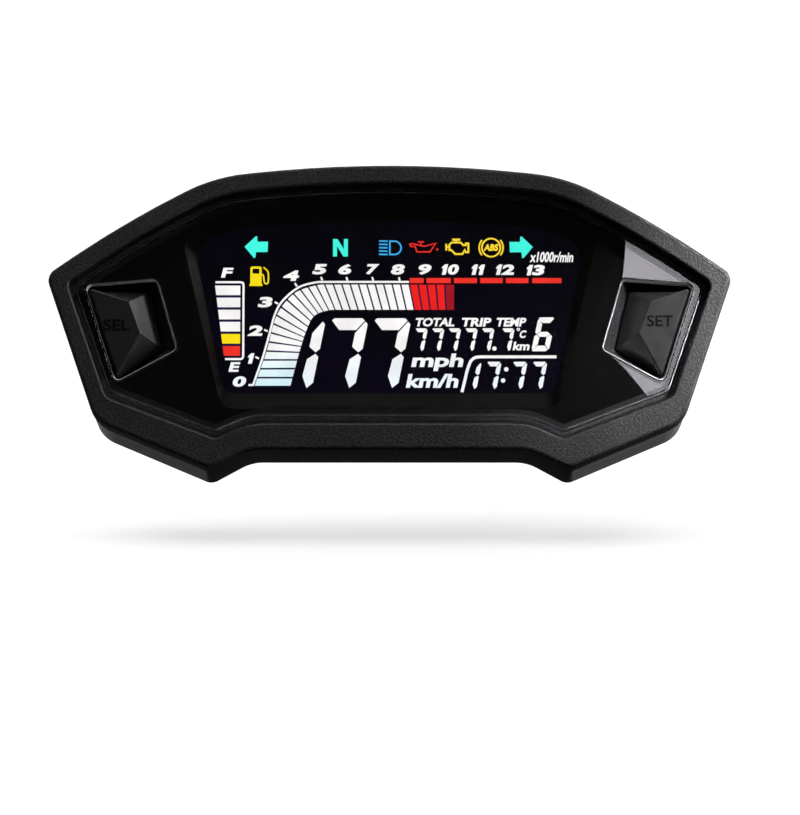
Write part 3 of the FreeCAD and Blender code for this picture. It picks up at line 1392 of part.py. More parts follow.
# -------------------------------------------------------------- pressure vent
vent = new_body("vent_cap", "dims.vent_x", "dims.wall_back", "dims.vent_z")
vent_profile = body_sketch(vent, "vent_profile", "XY_Plane")
vent_r = size["vent_radius"]
vent_neck = size["vent_neck_radius"]
vent_t = size["vent_cap_thick"]
draw_polygon(vent_profile, [
    ("0", "dims.wall_front - dims.wall_back", 0, -wall_t),
    ("dims.vent_neck_radius", "dims.wall_front - dims.wall_back", vent_neck, -wall_t),
    ("dims.vent_neck_radius", "0", vent_neck, 0),
    ("dims.vent_radius", "0", vent_r, 0),
    ("dims.vent_radius", "dims.vent_cap_thick - 0.4", vent_r, vent_t - 0.4),
    ("dims.vent_radius - 0.4", "dims.vent_cap_thick", vent_r - 0.4, vent_t),
    ("0", "dims.vent_cap_thick", 0, vent_t),
])
revolve(vent, "vent_turn", vent_profile, "V_Axis")

# ------------------------------------------------------------------- checking
doc.recompute()
faults = []
for item in doc.Objects:
    if "Invalid" in item.State or "Error" in item.State:
        faults.append(f"{item.Name}: {item.State}")
for item in pieces:
    shape = item.Shape
    if shape.isNull():
        faults.append(f"{item.Label}: no shape")
    elif not shape.isValid():
        faults.append(f"{item.Label}: invalid shape")
    elif not shape.Solids:
        faults.append(f"{item.Label}: no solid")
if faults:
    raise RuntimeError("\n".join(faults))

for item in pieces:
    item.Shape.exportStep(f"parts/{item.Label}.step")
    box = item.Shape.BoundBox
    print(f"{item.Label:24s} solids {len(item.Shape.Solids):3d} volume {item.Shape.Volume:10.1f}"
          f" x {box.XMin:7.2f} {box.XMax:7.2f} y {box.YMin:7.2f} {box.YMax:7.2f}"
          f" z {box.ZMin:7.2f} {box.ZMax:7.2f}")
print(len(pieces), "pieces written")
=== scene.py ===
"""Looks for the motorcycle instrument cluster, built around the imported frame.

The CAD nodes keep their shapes and get procedural finishes here. Three things are added:
the black print behind the lens, the lit artwork of the display and the lettering on the
keys. Artwork is drawn in millimetres on the X-Z plane, as the rider sees it.
"""
import json
import math

import bmesh
import bpy
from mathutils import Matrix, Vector
from mathutils.geometry import tessellate_polygon

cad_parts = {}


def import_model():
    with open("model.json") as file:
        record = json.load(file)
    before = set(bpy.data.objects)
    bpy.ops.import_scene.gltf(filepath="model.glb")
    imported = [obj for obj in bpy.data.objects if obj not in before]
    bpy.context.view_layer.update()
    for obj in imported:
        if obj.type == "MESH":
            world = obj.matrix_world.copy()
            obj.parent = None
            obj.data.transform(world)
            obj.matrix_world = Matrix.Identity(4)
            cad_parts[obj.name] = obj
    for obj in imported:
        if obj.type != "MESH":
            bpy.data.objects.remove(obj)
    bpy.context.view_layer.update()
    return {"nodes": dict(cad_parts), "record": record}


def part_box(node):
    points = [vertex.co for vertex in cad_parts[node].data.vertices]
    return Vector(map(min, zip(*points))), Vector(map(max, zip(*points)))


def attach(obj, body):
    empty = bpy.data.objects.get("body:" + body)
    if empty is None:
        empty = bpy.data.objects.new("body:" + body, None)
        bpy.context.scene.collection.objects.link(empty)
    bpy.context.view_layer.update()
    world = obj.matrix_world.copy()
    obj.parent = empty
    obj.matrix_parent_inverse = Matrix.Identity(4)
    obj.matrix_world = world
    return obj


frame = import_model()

MM = 0.001
SLOTS = {part["node"]: part["material_slot"] for part in frame["record"]["subparts"]}
RIM_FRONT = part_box("front_case")[0].y
LENS_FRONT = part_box("lens")[0].y
LENS_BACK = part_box("lens")[1].y
DISPLAY_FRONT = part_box("lcd_front_polarizer")[0].y
ADHESIVE_THICKNESS = 0.2 * MM

# The sloped mask round the display: where its painted shade, which deepens its own dark grey to
# near-black, ends at the sides and the rear.
MASK_SIDE = 47 * MM
MASK_REAR = -21 * MM
MASK_FADE = 1 * MM


# --------------------------------------------------------------------- shader graphs
class Graph:
    """A material's node tree, with short calls that add nodes and join them."""

    def __init__(self, name):
        self.material = bpy.data.materials.new(name)
        self.material.use_nodes = True
        self.tree = self.material.node_tree
        self.tree.nodes.clear()
        self.place = self.add("TexCoord").outputs["Object"]

    def add(self, kind, settings=None, **inputs):
        node = self.tree.nodes.new("ShaderNode" + kind)
        for key, value in (settings or {}).items():
            setattr(node, key, value)
        for key, value in inputs.items():
            self.feed(node.inputs[key.replace("_", " ")], value)
        return node

    def feed(self, socket, value):
        if isinstance(value, bpy.types.NodeSocket):
            self.tree.links.new(value, socket)
        elif socket.type == "RGBA" and len(value) == 3:
            socket.default_value = (*value, 1.0)
        else:
            socket.default_value = value

    def maths(self, operation, first, second=0.0):
        node = self.add("Math", {"operation": operation})
        self.feed(node.inputs[0], first)
        self.feed(node.inputs[1], second)
        return node.outputs[0]

    def remap(self, value, low, high, new_low=0.0, new_high=1.0):
        node = self.add("MapRange", {"interpolation_type": "SMOOTHSTEP"}, Value=value,
                        From_Min=low, From_Max=high, To_Min=new_low, To_Max=new_high)
        return node.outputs[0]

    def mix(self, factor, first, second):
        """Mixes two colours."""
        node = self.add("Mix", {"data_type": "RGBA"})
        for socket, value in zip((0, 6, 7), (factor, first, second)):
            self.feed(node.inputs[socket], value)
        return node.outputs[2]

    def scale(self, colour, factor):
        node = self.add("VectorMath", {"operation": "SCALE"})
        self.feed(node.inputs[0], colour)
        self.feed(node.inputs["Scale"], factor)
        return node.outputs[0]

    def noise(self, size, detail=3.0, stretch=(1, 1, 1)):
        """Noise whose features are about size millimetres across."""
        place = self.add("Mapping", Vector=self.place, Scale=stretch).outputs[0]
        return self.add("TexNoise", Vector=place, Scale=1 / (size * MM),
                        Detail=detail).outputs[0]

    def edges(self, radius):
        """1 on corners sharper than about radius millimetres, 0 on flat faces."""
        rounded = self.add("Bevel", {"samples": 4}, Radius=radius * MM).outputs[0]
        flat = self.add("NewGeometry").outputs["Normal"]
        dot = self.add("VectorMath", {"operation": "DOT_PRODUCT"})
        self.feed(dot.inputs[0], rounded)
        self.feed(dot.inputs[1], flat)
        return self.remap(dot.outputs["Value"], 0.99, 0.82)

    def bump(self, height, depth, strength=1.0):
        """A normal raised by up to depth millimetres where height is 1."""
        return self.add("Bump", Strength=strength, Distance=depth * MM,
                        Height=height).outputs[0]

    def finish(self, shader):
        output = self.add("OutputMaterial")
        self.tree.links.new(shader, output.inputs["Surface"])
        return self.material


def linear(red, green, blue):
    """A display colour, 0 to 255, as scene-linear light."""
    def channel(value):
        value /= 255
        return value / 12.92 if value <= 0.04045 else ((value + 0.055) / 1.055) ** 2.4
    return channel(red), channel(green), channel(blue)


# --------------------------------------------------------------------- finishes
def moulded(name, colour, roughness, grain=0.25, depth=0.01, wear=0.25, **extra):
    """Plastic, rubber or ceramic: mottled colour, fine grain and paler worn edges."""
    graph = Graph(name)
    fine = graph.noise(grain, 4)
    tone = graph.remap(graph.noise(9), 0.3, 0.7, 0.82, 1.18)
    worn = graph.scale(colour, 2.2)
    shade = graph.scale(graph.mix(graph.maths("MULTIPLY", graph.edges(0.15), wear),
                                  colour, worn), tone)
    gloss = graph.remap(graph.noise(2.5, 5), 0.3, 0.7, roughness - 0.06, roughness + 0.06)
    bsdf = graph.add("BsdfPrincipled", Base_Color=shade, Roughness=gloss,
                     Normal=graph.bump(fine, depth), **extra)
    return graph.finish(bsdf.outputs[0])


def metal(name, colour, roughness, stretch=(1, 1, 12)):
    """Turned, drawn or plated metal: streaks along one axis and bright worn edges."""
    graph = Graph(name)
    streaks = graph.noise(0.8, 5, stretch)
    stain = graph.remap(graph.noise(5), 0.35, 0.75, 1.05, 0.78)
    bright = graph.mix(graph.maths("MULTIPLY", graph.edges(0.1), 0.5), colour,
                       (0.95, 0.93, 0.9))
    gloss = graph.remap(streaks, 0.3, 0.7, roughness - 0.08, roughness + 0.1)
    bsdf = graph.add("BsdfPrincipled", Base_Color=graph.scale(bright, stain),
                     Roughness=gloss, Metallic=1.0, Normal=graph.bump(streaks, 0.006))
    return graph.finish(bsdf.outputs[0])


def case_plastic():
    """Spark-eroded black ABS: coarse grain outside, smooth walls in the mouth.

    The display mask behind the lens is painted near-black: its own dark grey, deepened as
    painted shade of the recess. Outward is above 0 on faces
    that look away from the middle of the front, and below 0 on the walls of the mouth.
    """
    graph = Graph("case_plastic")
    geometry = graph.add("NewGeometry")
    spot = graph.add("SeparateXYZ", Vector=graph.place)
    normal = graph.add("SeparateXYZ", Vector=geometry.outputs["Normal"])
    across = graph.maths("MULTIPLY", spot.outputs["X"], normal.outputs["X"])
    upward = graph.maths("MULTIPLY", spot.outputs["Z"], normal.outputs["Z"])
    outward = graph.maths("ADD", across, upward)
    inward = graph.remap(outward, -1.5 * MM, -6 * MM)
    below_rim = graph.remap(spot.outputs["Y"], RIM_FRONT + 0.2 * MM, RIM_FRONT + 0.6 * MM)
    smooth = graph.maths("MULTIPLY", inward, below_rim)
    # Where the mask sits behind the lens, between the keys and facing inward, its colour is
    # deepened as painted shade.
    behind_lens = graph.remap(spot.outputs["Y"], LENS_BACK, LENS_BACK + 0.2 * MM)
    in_front = graph.remap(spot.outputs["Y"], MASK_REAR + MASK_FADE, MASK_REAR)
    between_keys = graph.remap(graph.maths("ABSOLUTE", spot.outputs["X"]),
                               MASK_SIDE + MASK_FADE, MASK_SIDE)
    deep = graph.maths("MULTIPLY", behind_lens, in_front)
    mask_painted_shade = graph.maths("MULTIPLY", graph.maths("MULTIPLY", deep, between_keys),
                         graph.remap(outward, 2 * MM, 0.0))
    coarse = graph.noise(0.46, 2)
    fine = graph.noise(0.14, 3)
    height = graph.maths("ADD", coarse, graph.maths("MULTIPLY", fine, 0.45))
    texture = graph.maths("MULTIPLY", height, graph.maths("SUBTRACT", 1.0, smooth))
    speckle = graph.remap(height, 0.5, 0.95, 0.3, 2.8)
    broad = graph.remap(graph.noise(16), 0.3, 0.7, 0.85, 1.15)
    outside = graph.scale(graph.scale((0.016, 0.016, 0.017), speckle), broad)
    worn = graph.mix(graph.maths("MULTIPLY", graph.edges(0.25), 0.35), outside,
                     (0.040, 0.040, 0.043))
    wall = graph.mix(smooth, worn, (0.003, 0.003, 0.0033))
    # Painted shade: the mask's own dark grey is darkened to near-black, so the recess behind the
    # lens stays dark under the lamps.
    shade = graph.mix(mask_painted_shade, wall, (0.001, 0.001, 0.001))
    gloss = graph.remap(smooth, 0.0, 1.0, 0.55, 0.28)
    shine = graph.remap(mask_painted_shade, 0.0, 1.0, 0.45, 0.04)
    bsdf = graph.add("BsdfPrincipled", Base_Color=shade, Roughness=gloss,
                     Specular_IOR_Level=shine, Normal=graph.bump(texture, 0.13))
    return graph.finish(bsdf.outputs[0])


def key_plastic():
    """Satin black key cap with a very fine grain and slightly polished edges."""
    graph = Graph("key_satin")
    fine = graph.noise(0.16, 3)
    broad = graph.remap(graph.noise(6), 0.3, 0.7, 0.88, 1.12)
    rubbed = graph.maths("MULTIPLY", graph.edges(0.3), 0.4)
    shade = graph.scale(graph.mix(rubbed, (0.011, 0.011, 0.012), (0.03, 0.03, 0.033)), broad)
    gloss = graph.remap(graph.noise(3, 4), 0.3, 0.7, 0.38, 0.5)
    bsdf = graph.add("BsdfPrincipled", Base_Color=shade, Roughness=gloss,
                     Normal=graph.bump(fine, 0.012))
    return graph.finish(bsdf.outputs[0])


def clear_lens():
    """Clear polycarbonate with frosted edges, which pick up light from the side.

    Light that only passes through on its way is let through.
    """
    graph = Graph("lens_polycarbonate")
    haze = graph.remap(graph.noise(7, 5), 0.45, 0.8, 0.0, 0.035)
    waves = graph.bump(graph.noise(28, 1), 0.012, 0.4)
    glass = graph.add("BsdfPrincipled", Base_Color=(0.97, 0.97, 0.98), Roughness=haze,
                      IOR=1.5, Transmission_Weight=1.0, Normal=waves)
    cloudy = graph.add("BsdfPrincipled", Base_Color=(0.9, 0.9, 0.92), Roughness=0.3,
                       Normal=graph.bump(graph.noise(0.3), 0.003))
    normal = graph.add("SeparateXYZ", Vector=graph.add("NewGeometry").outputs["Normal"])
    turned = graph.remap(graph.maths("ABSOLUTE", normal.outputs["Y"]), 0.95, 0.6, 0.0, 0.8)
    body = graph.add("MixShader", Fac=turned)
    graph.tree.links.new(glass.outputs[0], body.inputs[1])
    graph.tree.links.new(cloudy.outputs[0], body.inputs[2])
    clear = graph.add("BsdfTransparent", Color=(0.9, 0.9, 0.92))
    path = graph.add("LightPath")
    mixed = graph.add("MixShader", Fac=path.outputs["Is Shadow Ray"])
    graph.tree.links.new(body.outputs[0], mixed.inputs[1])
    graph.tree.links.new(clear.outputs[0], mixed.inputs[2])
    return graph.finish(mixed.outputs[0])


def border_ink():
    """Black screen print behind the lens, with faint mesh marks in the ink."""
    graph = Graph("border_ink")
    weave = graph.noise(0.4, 2)
    shade = graph.scale((0.0007, 0.0007, 0.0007), graph.remap(weave, 0.3, 0.7, 0.8, 1.2))
    bsdf = graph.add("BsdfPrincipled", Base_Color=shade, Roughness=0.6,
                     Specular_IOR_Level=0.05, Normal=graph.bump(weave, 0.004))
    return graph.finish(bsdf.outputs[0])


def dark_film():
    """Polariser film: near-black, with the faint violet glow of a lit display."""
    graph = Graph("polariser_film")
    spot = graph.add("SeparateXYZ", Vector=graph.place)
    high = graph.remap(spot.outputs["Z"], -18 * MM, 20 * MM, 1.0, 0.45)
    glow = graph.maths("MULTIPLY", graph.remap(graph.noise(11, 4), 0.3, 0.7, 0.5, 1.2), high)
    bsdf = graph.add("BsdfPrincipled", Base_Color=(0.0003, 0.0003, 0.0005),
                     Roughness=0.3, Specular_IOR_Level=0.05,
                     Emission_Color=linear(5, 2, 16), Emission_Strength=glow,
                     Normal=graph.bump(graph.noise(0.2), 0.002))
    return graph.finish(bsdf.outputs[0])


def lit(name, colour, strength=1.0, foot=None):
    """A lit display segment. With foot, the colour turns to it near the display's foot."""
    graph = Graph(name)
    uneven = graph.remap(graph.noise(7, 4), 0.3, 0.7, strength * 0.9, strength * 1.06)
    tint = linear(*colour)
    if foot:
        spot = graph.add("SeparateXYZ", Vector=graph.place)
        low = graph.remap(spot.outputs["Z"], -4.5 * MM, -14 * MM)
        tint = graph.mix(low, tint, linear(*foot))
    bsdf = graph.add("BsdfPrincipled", Base_Color=(0.01, 0.01, 0.01), Roughness=0.35,
                     Specular_IOR_Level=0.1, Emission_Color=tint,
                     Emission_Strength=uneven)
    return graph.finish(bsdf.outputs[0])


def circuit_laminate():
    """Green solder mask over etched tracks, with tinned via rings."""
    graph = Graph("solder_mask")
    tracks = graph.add("TexVoronoi", {"feature": "DISTANCE_TO_EDGE"}, Vector=graph.place,
                       Scale=420.0).outputs["Distance"]
    copper = graph.remap(tracks, 0.12, 0.06)
    vias = graph.add("TexVoronoi", Vector=graph.place, Scale=260.0).outputs["Distance"]
    ring = graph.remap(vias, 0.12, 0.09)
    green = graph.mix(copper, (0.008, 0.075, 0.025), (0.02, 0.16, 0.05))
    shade = graph.mix(ring, green, (0.62, 0.6, 0.55))
    bsdf = graph.add("BsdfPrincipled", Base_Color=shade, Roughness=0.35, Metallic=ring,
                     Coat_Weight=0.3, Normal=graph.bump(copper, 0.03))
    return graph.finish(bsdf.outputs[0])


def wire_insulation():
    """Extruded insulation, each wire in its own colour."""
    graph = Graph("wire_insulation")
    pick = graph.add("NewGeometry").outputs["Random Per Island"]
    ramp = graph.add("ValToRGB", Fac=pick)
    ramp.color_ramp.interpolation = "CONSTANT"
    colours = [(0.02, 0.02, 0.02), (0.45, 0.02, 0.015), (0.02, 0.12, 0.4), (0.03, 0.22, 0.06),
               (0.6, 0.4, 0.02), (0.55, 0.55, 0.52), (0.5, 0.16, 0.02), (0.16, 0.06, 0.02)]
    for index, colour in enumerate(colours):
        stop = ramp.color_ramp.elements[0] if index == 0 else \
            ramp.color_ramp.elements.new(index / len(colours))
        stop.color = (*colour, 1.0)
    scuff = graph.remap(graph.noise(3, 5), 0.3, 0.7, 0.85, 1.1)
    gloss = graph.remap(graph.noise(1.5), 0.3, 0.7, 0.3, 0.45)
    bsdf = graph.add("BsdfPrincipled", Base_Color=graph.scale(ramp.outputs[0], scuff),
                     Roughness=gloss, Normal=graph.bump(graph.noise(0.3), 0.01))
    return graph.finish(bsdf.outputs[0])


def striped_elastomer():
    """Zebra strip: fine carbon layers between clear silicone."""
    graph = Graph("layered_elastomer")
    wave = graph.add("TexWave", {"bands_direction": "X"}, Vector=graph.place, Scale=700.0,
                     Distortion=0.2).outputs["Fac"]
    shade = graph.mix(graph.remap(wave, 0.4, 0.6), (0.03, 0.03, 0.03), (0.5, 0.42, 0.46))
    bsdf = graph.add("BsdfPrincipled", Base_Color=shade, Roughness=0.6,
                     Normal=graph.bump(wave, 0.01))
    return graph.finish(bsdf.outputs[0])


def backlit_plastic(name, colour, strength):
    """Opal light-box plastic that glows a little from the light inside."""
    graph = Graph(name)
    cloud = graph.noise(4, 4)
    shade = graph.scale(colour, graph.remap(cloud, 0.3, 0.7, 0.9, 1.05))
    bsdf = graph.add("BsdfPrincipled", Base_Color=shade, Roughness=0.45,
                     Subsurface_Weight=0.1, Emission_Color=colour,
                     Emission_Strength=graph.remap(cloud, 0.3, 0.7, strength, strength * 1.3),
                     Normal=graph.bump(graph.noise(0.2), 0.005))
    return graph.finish(bsdf.outputs[0])


def slot_materials():
    """One finish for each material slot of the record."""
    made = {
        "case_abs": case_plastic(),
        "key_plastic": key_plastic(),
        "lens_clear": clear_lens(),
        "polarizer": dark_film(),
        "board_laminate": circuit_laminate(),
        "wire_pvc": wire_insulation(),
        "zebra_rubber": striped_elastomer(),
        "diffuser": backlit_plastic("opal_diffuser", (0.85, 0.88, 0.9), 0.25),
        "holder_plastic": backlit_plastic("white_holder", (0.8, 0.8, 0.77), 0.05),
        "led_package": backlit_plastic("led_resin", (0.95, 0.85, 0.45), 0.6),
        "lcd_glass": moulded("display_glass", (0.02, 0.02, 0.035), 0.1, 0.3, 0.001, 0.1,
                             Coat_Weight=1.0),
    }
    # slot: colour, roughness, grain size and grain depth in mm
    plastics = {
        "adhesive": ((0.012, 0.012, 0.013), 0.85, 0.15, 0.02),
        "switch_plastic": ((0.025, 0.025, 0.027), 0.5, 0.2, 0.01),
        "switch_plunger": ((0.42, 0.04, 0.03), 0.42, 0.2, 0.01),
        "foam_gasket": ((0.012, 0.012, 0.012), 0.94, 0.3, 0.12),
        "chip_epoxy": ((0.014, 0.014, 0.016), 0.62, 0.1, 0.012),
        "ferrite": ((0.035, 0.034, 0.036), 0.66, 0.22, 0.03),
        "chip_ceramic": ((0.36, 0.24, 0.13), 0.48, 0.12, 0.008),
        "header_plastic": ((0.7, 0.66, 0.54), 0.42, 0.3, 0.012),
        "seal_rubber": ((0.16, 0.03, 0.018), 0.62, 0.4, 0.02),
        "damper_rubber": ((0.013, 0.013, 0.013), 0.78, 0.3, 0.03),
        "grommet_rubber": ((0.015, 0.015, 0.015), 0.74, 0.35, 0.03),
        "sheath_pvc": ((0.018, 0.018, 0.019), 0.5, 0.5, 0.03),
        "connector_plastic": ((0.02, 0.02, 0.022), 0.44, 0.25, 0.02),
        "vent_plastic": ((0.02, 0.02, 0.021), 0.58, 0.3, 0.02),
    }
    for slot, values in plastics.items():
        made[slot] = moulded(slot + "_finish", *values)
    # slot: colour, roughness and the stretch of its streaks
    metals = {
        "tinned_metal": ((0.72, 0.72, 0.7), 0.3, (1, 1, 8)),
        "can_metal": ((0.68, 0.68, 0.66), 0.28, (8, 1, 1)),
        "capacitor_can": ((0.7, 0.7, 0.71), 0.32, (1, 6, 1)),
        "screw_steel": ((0.5, 0.5, 0.5), 0.34, (1, 10, 1)),
        "insert_brass": ((0.6, 0.42, 0.16), 0.3, (1, 12, 1)),
        "collar_steel": ((0.56, 0.55, 0.53), 0.32, (1, 12, 1)),
    }
    for slot, values in metals.items():
        made[slot] = metal(slot + "_finish", *values)
    return made


# --------------------------------------------------------------------- flat artwork
def arc(x, z, radius, start=0.0, end=360.0, steps=28):
    """Points along an arc, angles in degrees from +X towards +Z."""
    angles = [math.radians(start + (end - start) * i / steps) for i in range(steps + 1)]
    return [(x + radius * math.cos(a), z + radius * math.sin(a)) for a in angles]


def spline(knots, at):
    """The Catmull-Rom point at parameter at, where knots are (parameter, point) pairs."""
    last = len(knots) - 2
    index = min(last, max(i for i, knot in enumerate(knots) if knot[0] <= at))
    near = [knots[max(0, index - 1)], knots[index], knots[index + 1],
            knots[min(len(knots) - 1, index + 2)]]
    (t0, p0), (t1, p1), (t2, p2), (t3, p3) = near
    span = t2 - t1
    u = (at - t1) / span
    result = []
    for a, b, c, d in zip(p0, p1, p2, p3):
        leave = (c - a) / (t2 - t0) * span
        arrive = (d - b) / (t3 - t1) * span
        result.append((2 * u ** 3 - 3 * u ** 2 + 1) * b + (u ** 3 - 2 * u ** 2 + u) * leave
                      + (3 * u ** 2 - 2 * u ** 3) * c + (u ** 3 - u ** 2) * arrive)
    return tuple(result)


def rounded(points, steps=4):
    """A smooth line through the points."""
    knots = list(enumerate(points))
    count = (len(points) - 1) * steps
    return [spline(knots, i / steps) for i in range(count)] + [points[-1]]


class Artwork:
    """Flat shapes in millimetres, collected and built as one thin closed mesh."""

    def __init__(self):
        self.points = []
        self.faces = []

    def polygon(self, corners):
        start = len(self.points)
        self.points += list(corners)
        self.faces.append(list(range(start, start + len(corners))))

    def strip(self, near, far, closed=False):
        """Quads between two rows of points."""
        start = len(self.points)
        count = len(near)
        self.points += list(near) + list(far)
        for index in range(count if closed else count - 1):
            after = (index + 1) % count
            self.faces.append([start + index, start + after,
                               start + count + after, start + count + index])

    def stroke(self, path, width, closed=False):
        """A line of the given width with mitred corners."""
        path = [Vector(point) for point in path]
        near, far = [], []
        for index, point in enumerate(path):
            steps = []
            if index or closed:
                steps.append((point - path[index - 1]).normalized())
            if index + 1 < len(path) or closed:
                steps.append((path[(index + 1) % len(path)] - point).normalized())
            along = (steps[0] + steps[-1]).normalized()
            side = Vector((-along.y, along.x))
            square = Vector((-steps[0].y, steps[0].x))
            reach = width / 2 / max(0.55, side.dot(square))
            near.append(tuple(point + side * reach))
            far.append(tuple(point - side * reach))
        self.strip(near, far, closed)

    def ring(self, x, z, radius, width):
        self.stroke(arc(x, z, radius)[:-1], width, closed=True)

    def disc(self, x, z, radius):
        self.polygon(arc(x, z, radius, steps=20)[:-1])

    def loops(self, outlines):
        """A filled area: the first outline, less the others."""
        start = len(self.points)
        for outline in outlines:
            self.points += outline
        flat = [[Vector((x, z, 0)) for x, z in outline] for outline in outlines]
        for triangle in tessellate_polygon(flat):
            self.faces.append([start + index for index in triangle])

    def figures(self, number, centre, base, width, height=2.35, slant=0.25):
        """A heavy leaning number. Its ones are drawn here, because the font's lack a flag."""
        gap = 0.2
        ones = number.count("1")
        others = len(number) - ones
        lean = slant * height
        one_width = 1.35
        share = width - lean - gap * (len(number) - 1) - one_width * ones
        left = centre - width / 2
        for figure in number:
            if figure == "1":
                flag = [(0.1, 1.75), (0.1, 1.4), (0.45, 1.4), (0.45, 0), (1.3, 0),
                        (1.3, height), (0.62, height)]
                self.polygon([(left + u + slant * v, base + v) for u, v in flag])
                left += one_width + gap
            else:
                self.text(figure, left + (share / others + lean) / 2, base,
                          share / others + lean, height, slant, 0.05)
                left += share / others + gap

    def text(self, body, centre, base, width, height, slant=0.22, weight=0.022):
        """Lettering fitted to a width and height, leaning by slant, made bold by weight."""
        curve = bpy.data.curves.new("letters", "FONT")
        curve.body = body
        curve.offset = weight
        curve.resolution_u = 4
        holder = bpy.data.objects.new("letters", curve)
        bpy.context.scene.collection.objects.link(holder)
        ready = bpy.context.evaluated_depsgraph_get()
        mesh = bpy.data.meshes.new_from_object(holder.evaluated_get(ready))
        bpy.data.objects.remove(holder)
        used = sorted({index for face in mesh.polygons for index in face.vertices})
        order = {index: len(self.points) + i for i, index in enumerate(used)}
        xs = [mesh.vertices[index].co.x for index in used]
        ys = [mesh.vertices[index].co.y for index in used]
        lean = slant * height
        for x, y in zip(xs, ys):
            across = (x - min(xs)) / (max(xs) - min(xs)) * (width - lean)
            up = (y - min(ys)) / (max(ys) - min(ys)) * height
            self.points.append((centre - width / 2 + across + slant * up, base + up))
        for face in mesh.polygons:
            self.faces.append([order[index] for index in face.vertices])
        bpy.data.meshes.remove(mesh)

    def build(self, name, front, thickness, material, body, slot):
        """The artwork as a closed mesh between two depths, riding on a CAD body."""
        count = len(self.points)
        vertices = [(x * MM, y, z * MM) for y in (front, front + thickness)
                    for x, z in self.points]
        faces = list(self.faces)
        faces += [[index + count for index in reversed(face)] for face in self.faces]
        directed = {(a, b) for face in self.faces for a, b in zip(face, face[1:] + face[:1])}
        for a, b in sorted(directed):
            if (b, a) not in directed:
                faces.append([b, a, a + count, b + count])
        mesh = bpy.data.meshes.new(name)
        mesh.from_pydata(vertices, [], faces)
        tidy = bmesh.new()
        tidy.from_mesh(mesh)
        bmesh.ops.recalc_face_normals(tidy, faces=tidy.faces)
        tidy.to_mesh(mesh)
        tidy.free()
        mesh.materials.append(material)
        piece = bpy.data.objects.new(name, mesh)
        bpy.context.scene.collection.objects.link(piece)
        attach(piece, body)


SEGMENT_DEPTH = 0.03 * MM
SEGMENT_FRONT = DISPLAY_FRONT - 0.05 * MM
HALO_SINK = 0.035 * MM


def show(name, artwork, material, sink=0.0):
    """Builds display artwork just in front of the display's front film."""
    artwork.build(name, SEGMENT_FRONT + sink, SEGMENT_DEPTH, material,
                  "cluster", "lcd_glass")


# --------------------------------------------------------------------- lens print
PRINT_GAP = 0.01 * MM
PRINT_THICKNESS = 0.03 * MM


def flat_outlines(node, depth, facing):
    """Closed outlines in mm of a node's flat faces at one depth that face one way."""
    mesh = bmesh.new()
    mesh.from_mesh(frame["nodes"][node].data)
    bmesh.ops.remove_doubles(mesh, verts=mesh.verts, dist=0.001 * MM)
    faces = {face for face in mesh.faces
             if abs(face.calc_center_median().y - depth) < 0.002 * MM
             and face.normal.y * facing > 0.99}
    following = {}
    for face in faces:
        for loop in face.loops:
            if sum(other in faces for other in loop.edge.link_faces) == 1:
                following[loop.vert] = loop.link_loop_next.vert
    outlines = []
    while following:
        vertex = next(iter(following))
        outline = []
        while vertex in following:
            outline.append((vertex.co.x / MM, vertex.co.z / MM))
            vertex = following.pop(vertex)
        outlines.append(outline)
    mesh.free()
    return outlines


def area(outline):
    pairs = zip(outline, outline[1:] + outline[:1])
    return abs(sum(x1 * z2 - x2 * z1 for (x1, z1), (x2, z2) in pairs)) / 2


def lens_print():
    """The black border: the lens outline less its key cut-outs and the display window."""
    lens = sorted(flat_outlines("lens", LENS_BACK, 1), key=area, reverse=True)
    floor = flat_outlines("front_case", LENS_BACK + ADHESIVE_THICKNESS, -1)
    round_centre = [outline for outline in floor
                    if min(x for x, z in outline) < 0 < max(x for x, z in outline)]
    window = min(round_centre, key=area)
    ink = Artwork()
    ink.loops([lens[0], window] + lens[1:])
    ink.build("lens_border_print", LENS_BACK + PRINT_GAP, PRINT_THICKNESS, border_ink(),
              "cluster", "lens_clear")


# --------------------------------------------------------------------- display artwork
def digit(artwork, shown, right, base, width, height, bar, slant=0.2):
    """A seven-segment figure, placed by the lower right corner of its cell."""
    half = height / 2
    upper = [(0, height - 0.56 * bar), (0.25 * bar, height - 0.31 * bar),
             (bar, height - 1.4 * bar), (bar, half + 0.58 * bar),
             (0.33 * bar, half + 0.07 * bar), (0, half + 0.4 * bar)]
    top = [(0.6 * bar, height), (0.33 * bar, height - 0.22 * bar),
           (0.95 * bar, height - 1.1 * bar), (width - 0.95 * bar, height - 1.1 * bar),
           (width - 0.1 * bar, height - 0.2 * bar), (width - 0.3 * bar, height)]
    middle = [(0.42 * bar, half), (bar, half + 0.48 * bar), (width - bar, half + 0.48 * bar),
              (width - 0.42 * bar, half), (width - bar, half - 0.48 * bar),
              (bar, half - 0.48 * bar)]

    def flip(points):
        return [(u, height - v) for u, v in points]

    def swap(points):
        return [(width - u, v) for u, v in points]

    shapes = {"a": top, "b": upper, "c": flip(upper), "d": flip(top),
              "e": swap(flip(upper)), "f": swap(upper), "g": middle}
    if shown in "17":
        shapes["c"] = [(0, half - 0.37 * bar), (0.33 * bar, half - 0.07 * bar),
                       (bar, half - 0.58 * bar), (1.1 * bar, 1.1 * bar), (0.5 * bar, 0),
                       (0, 0.48 * bar)]
    lit_segments = {"1": "bc", "6": "acdefg", "7": "abc"}
    for segment in lit_segments[shown]:
        artwork.polygon([(right - u + slant * v, base + v) for u, v in shapes[segment]])


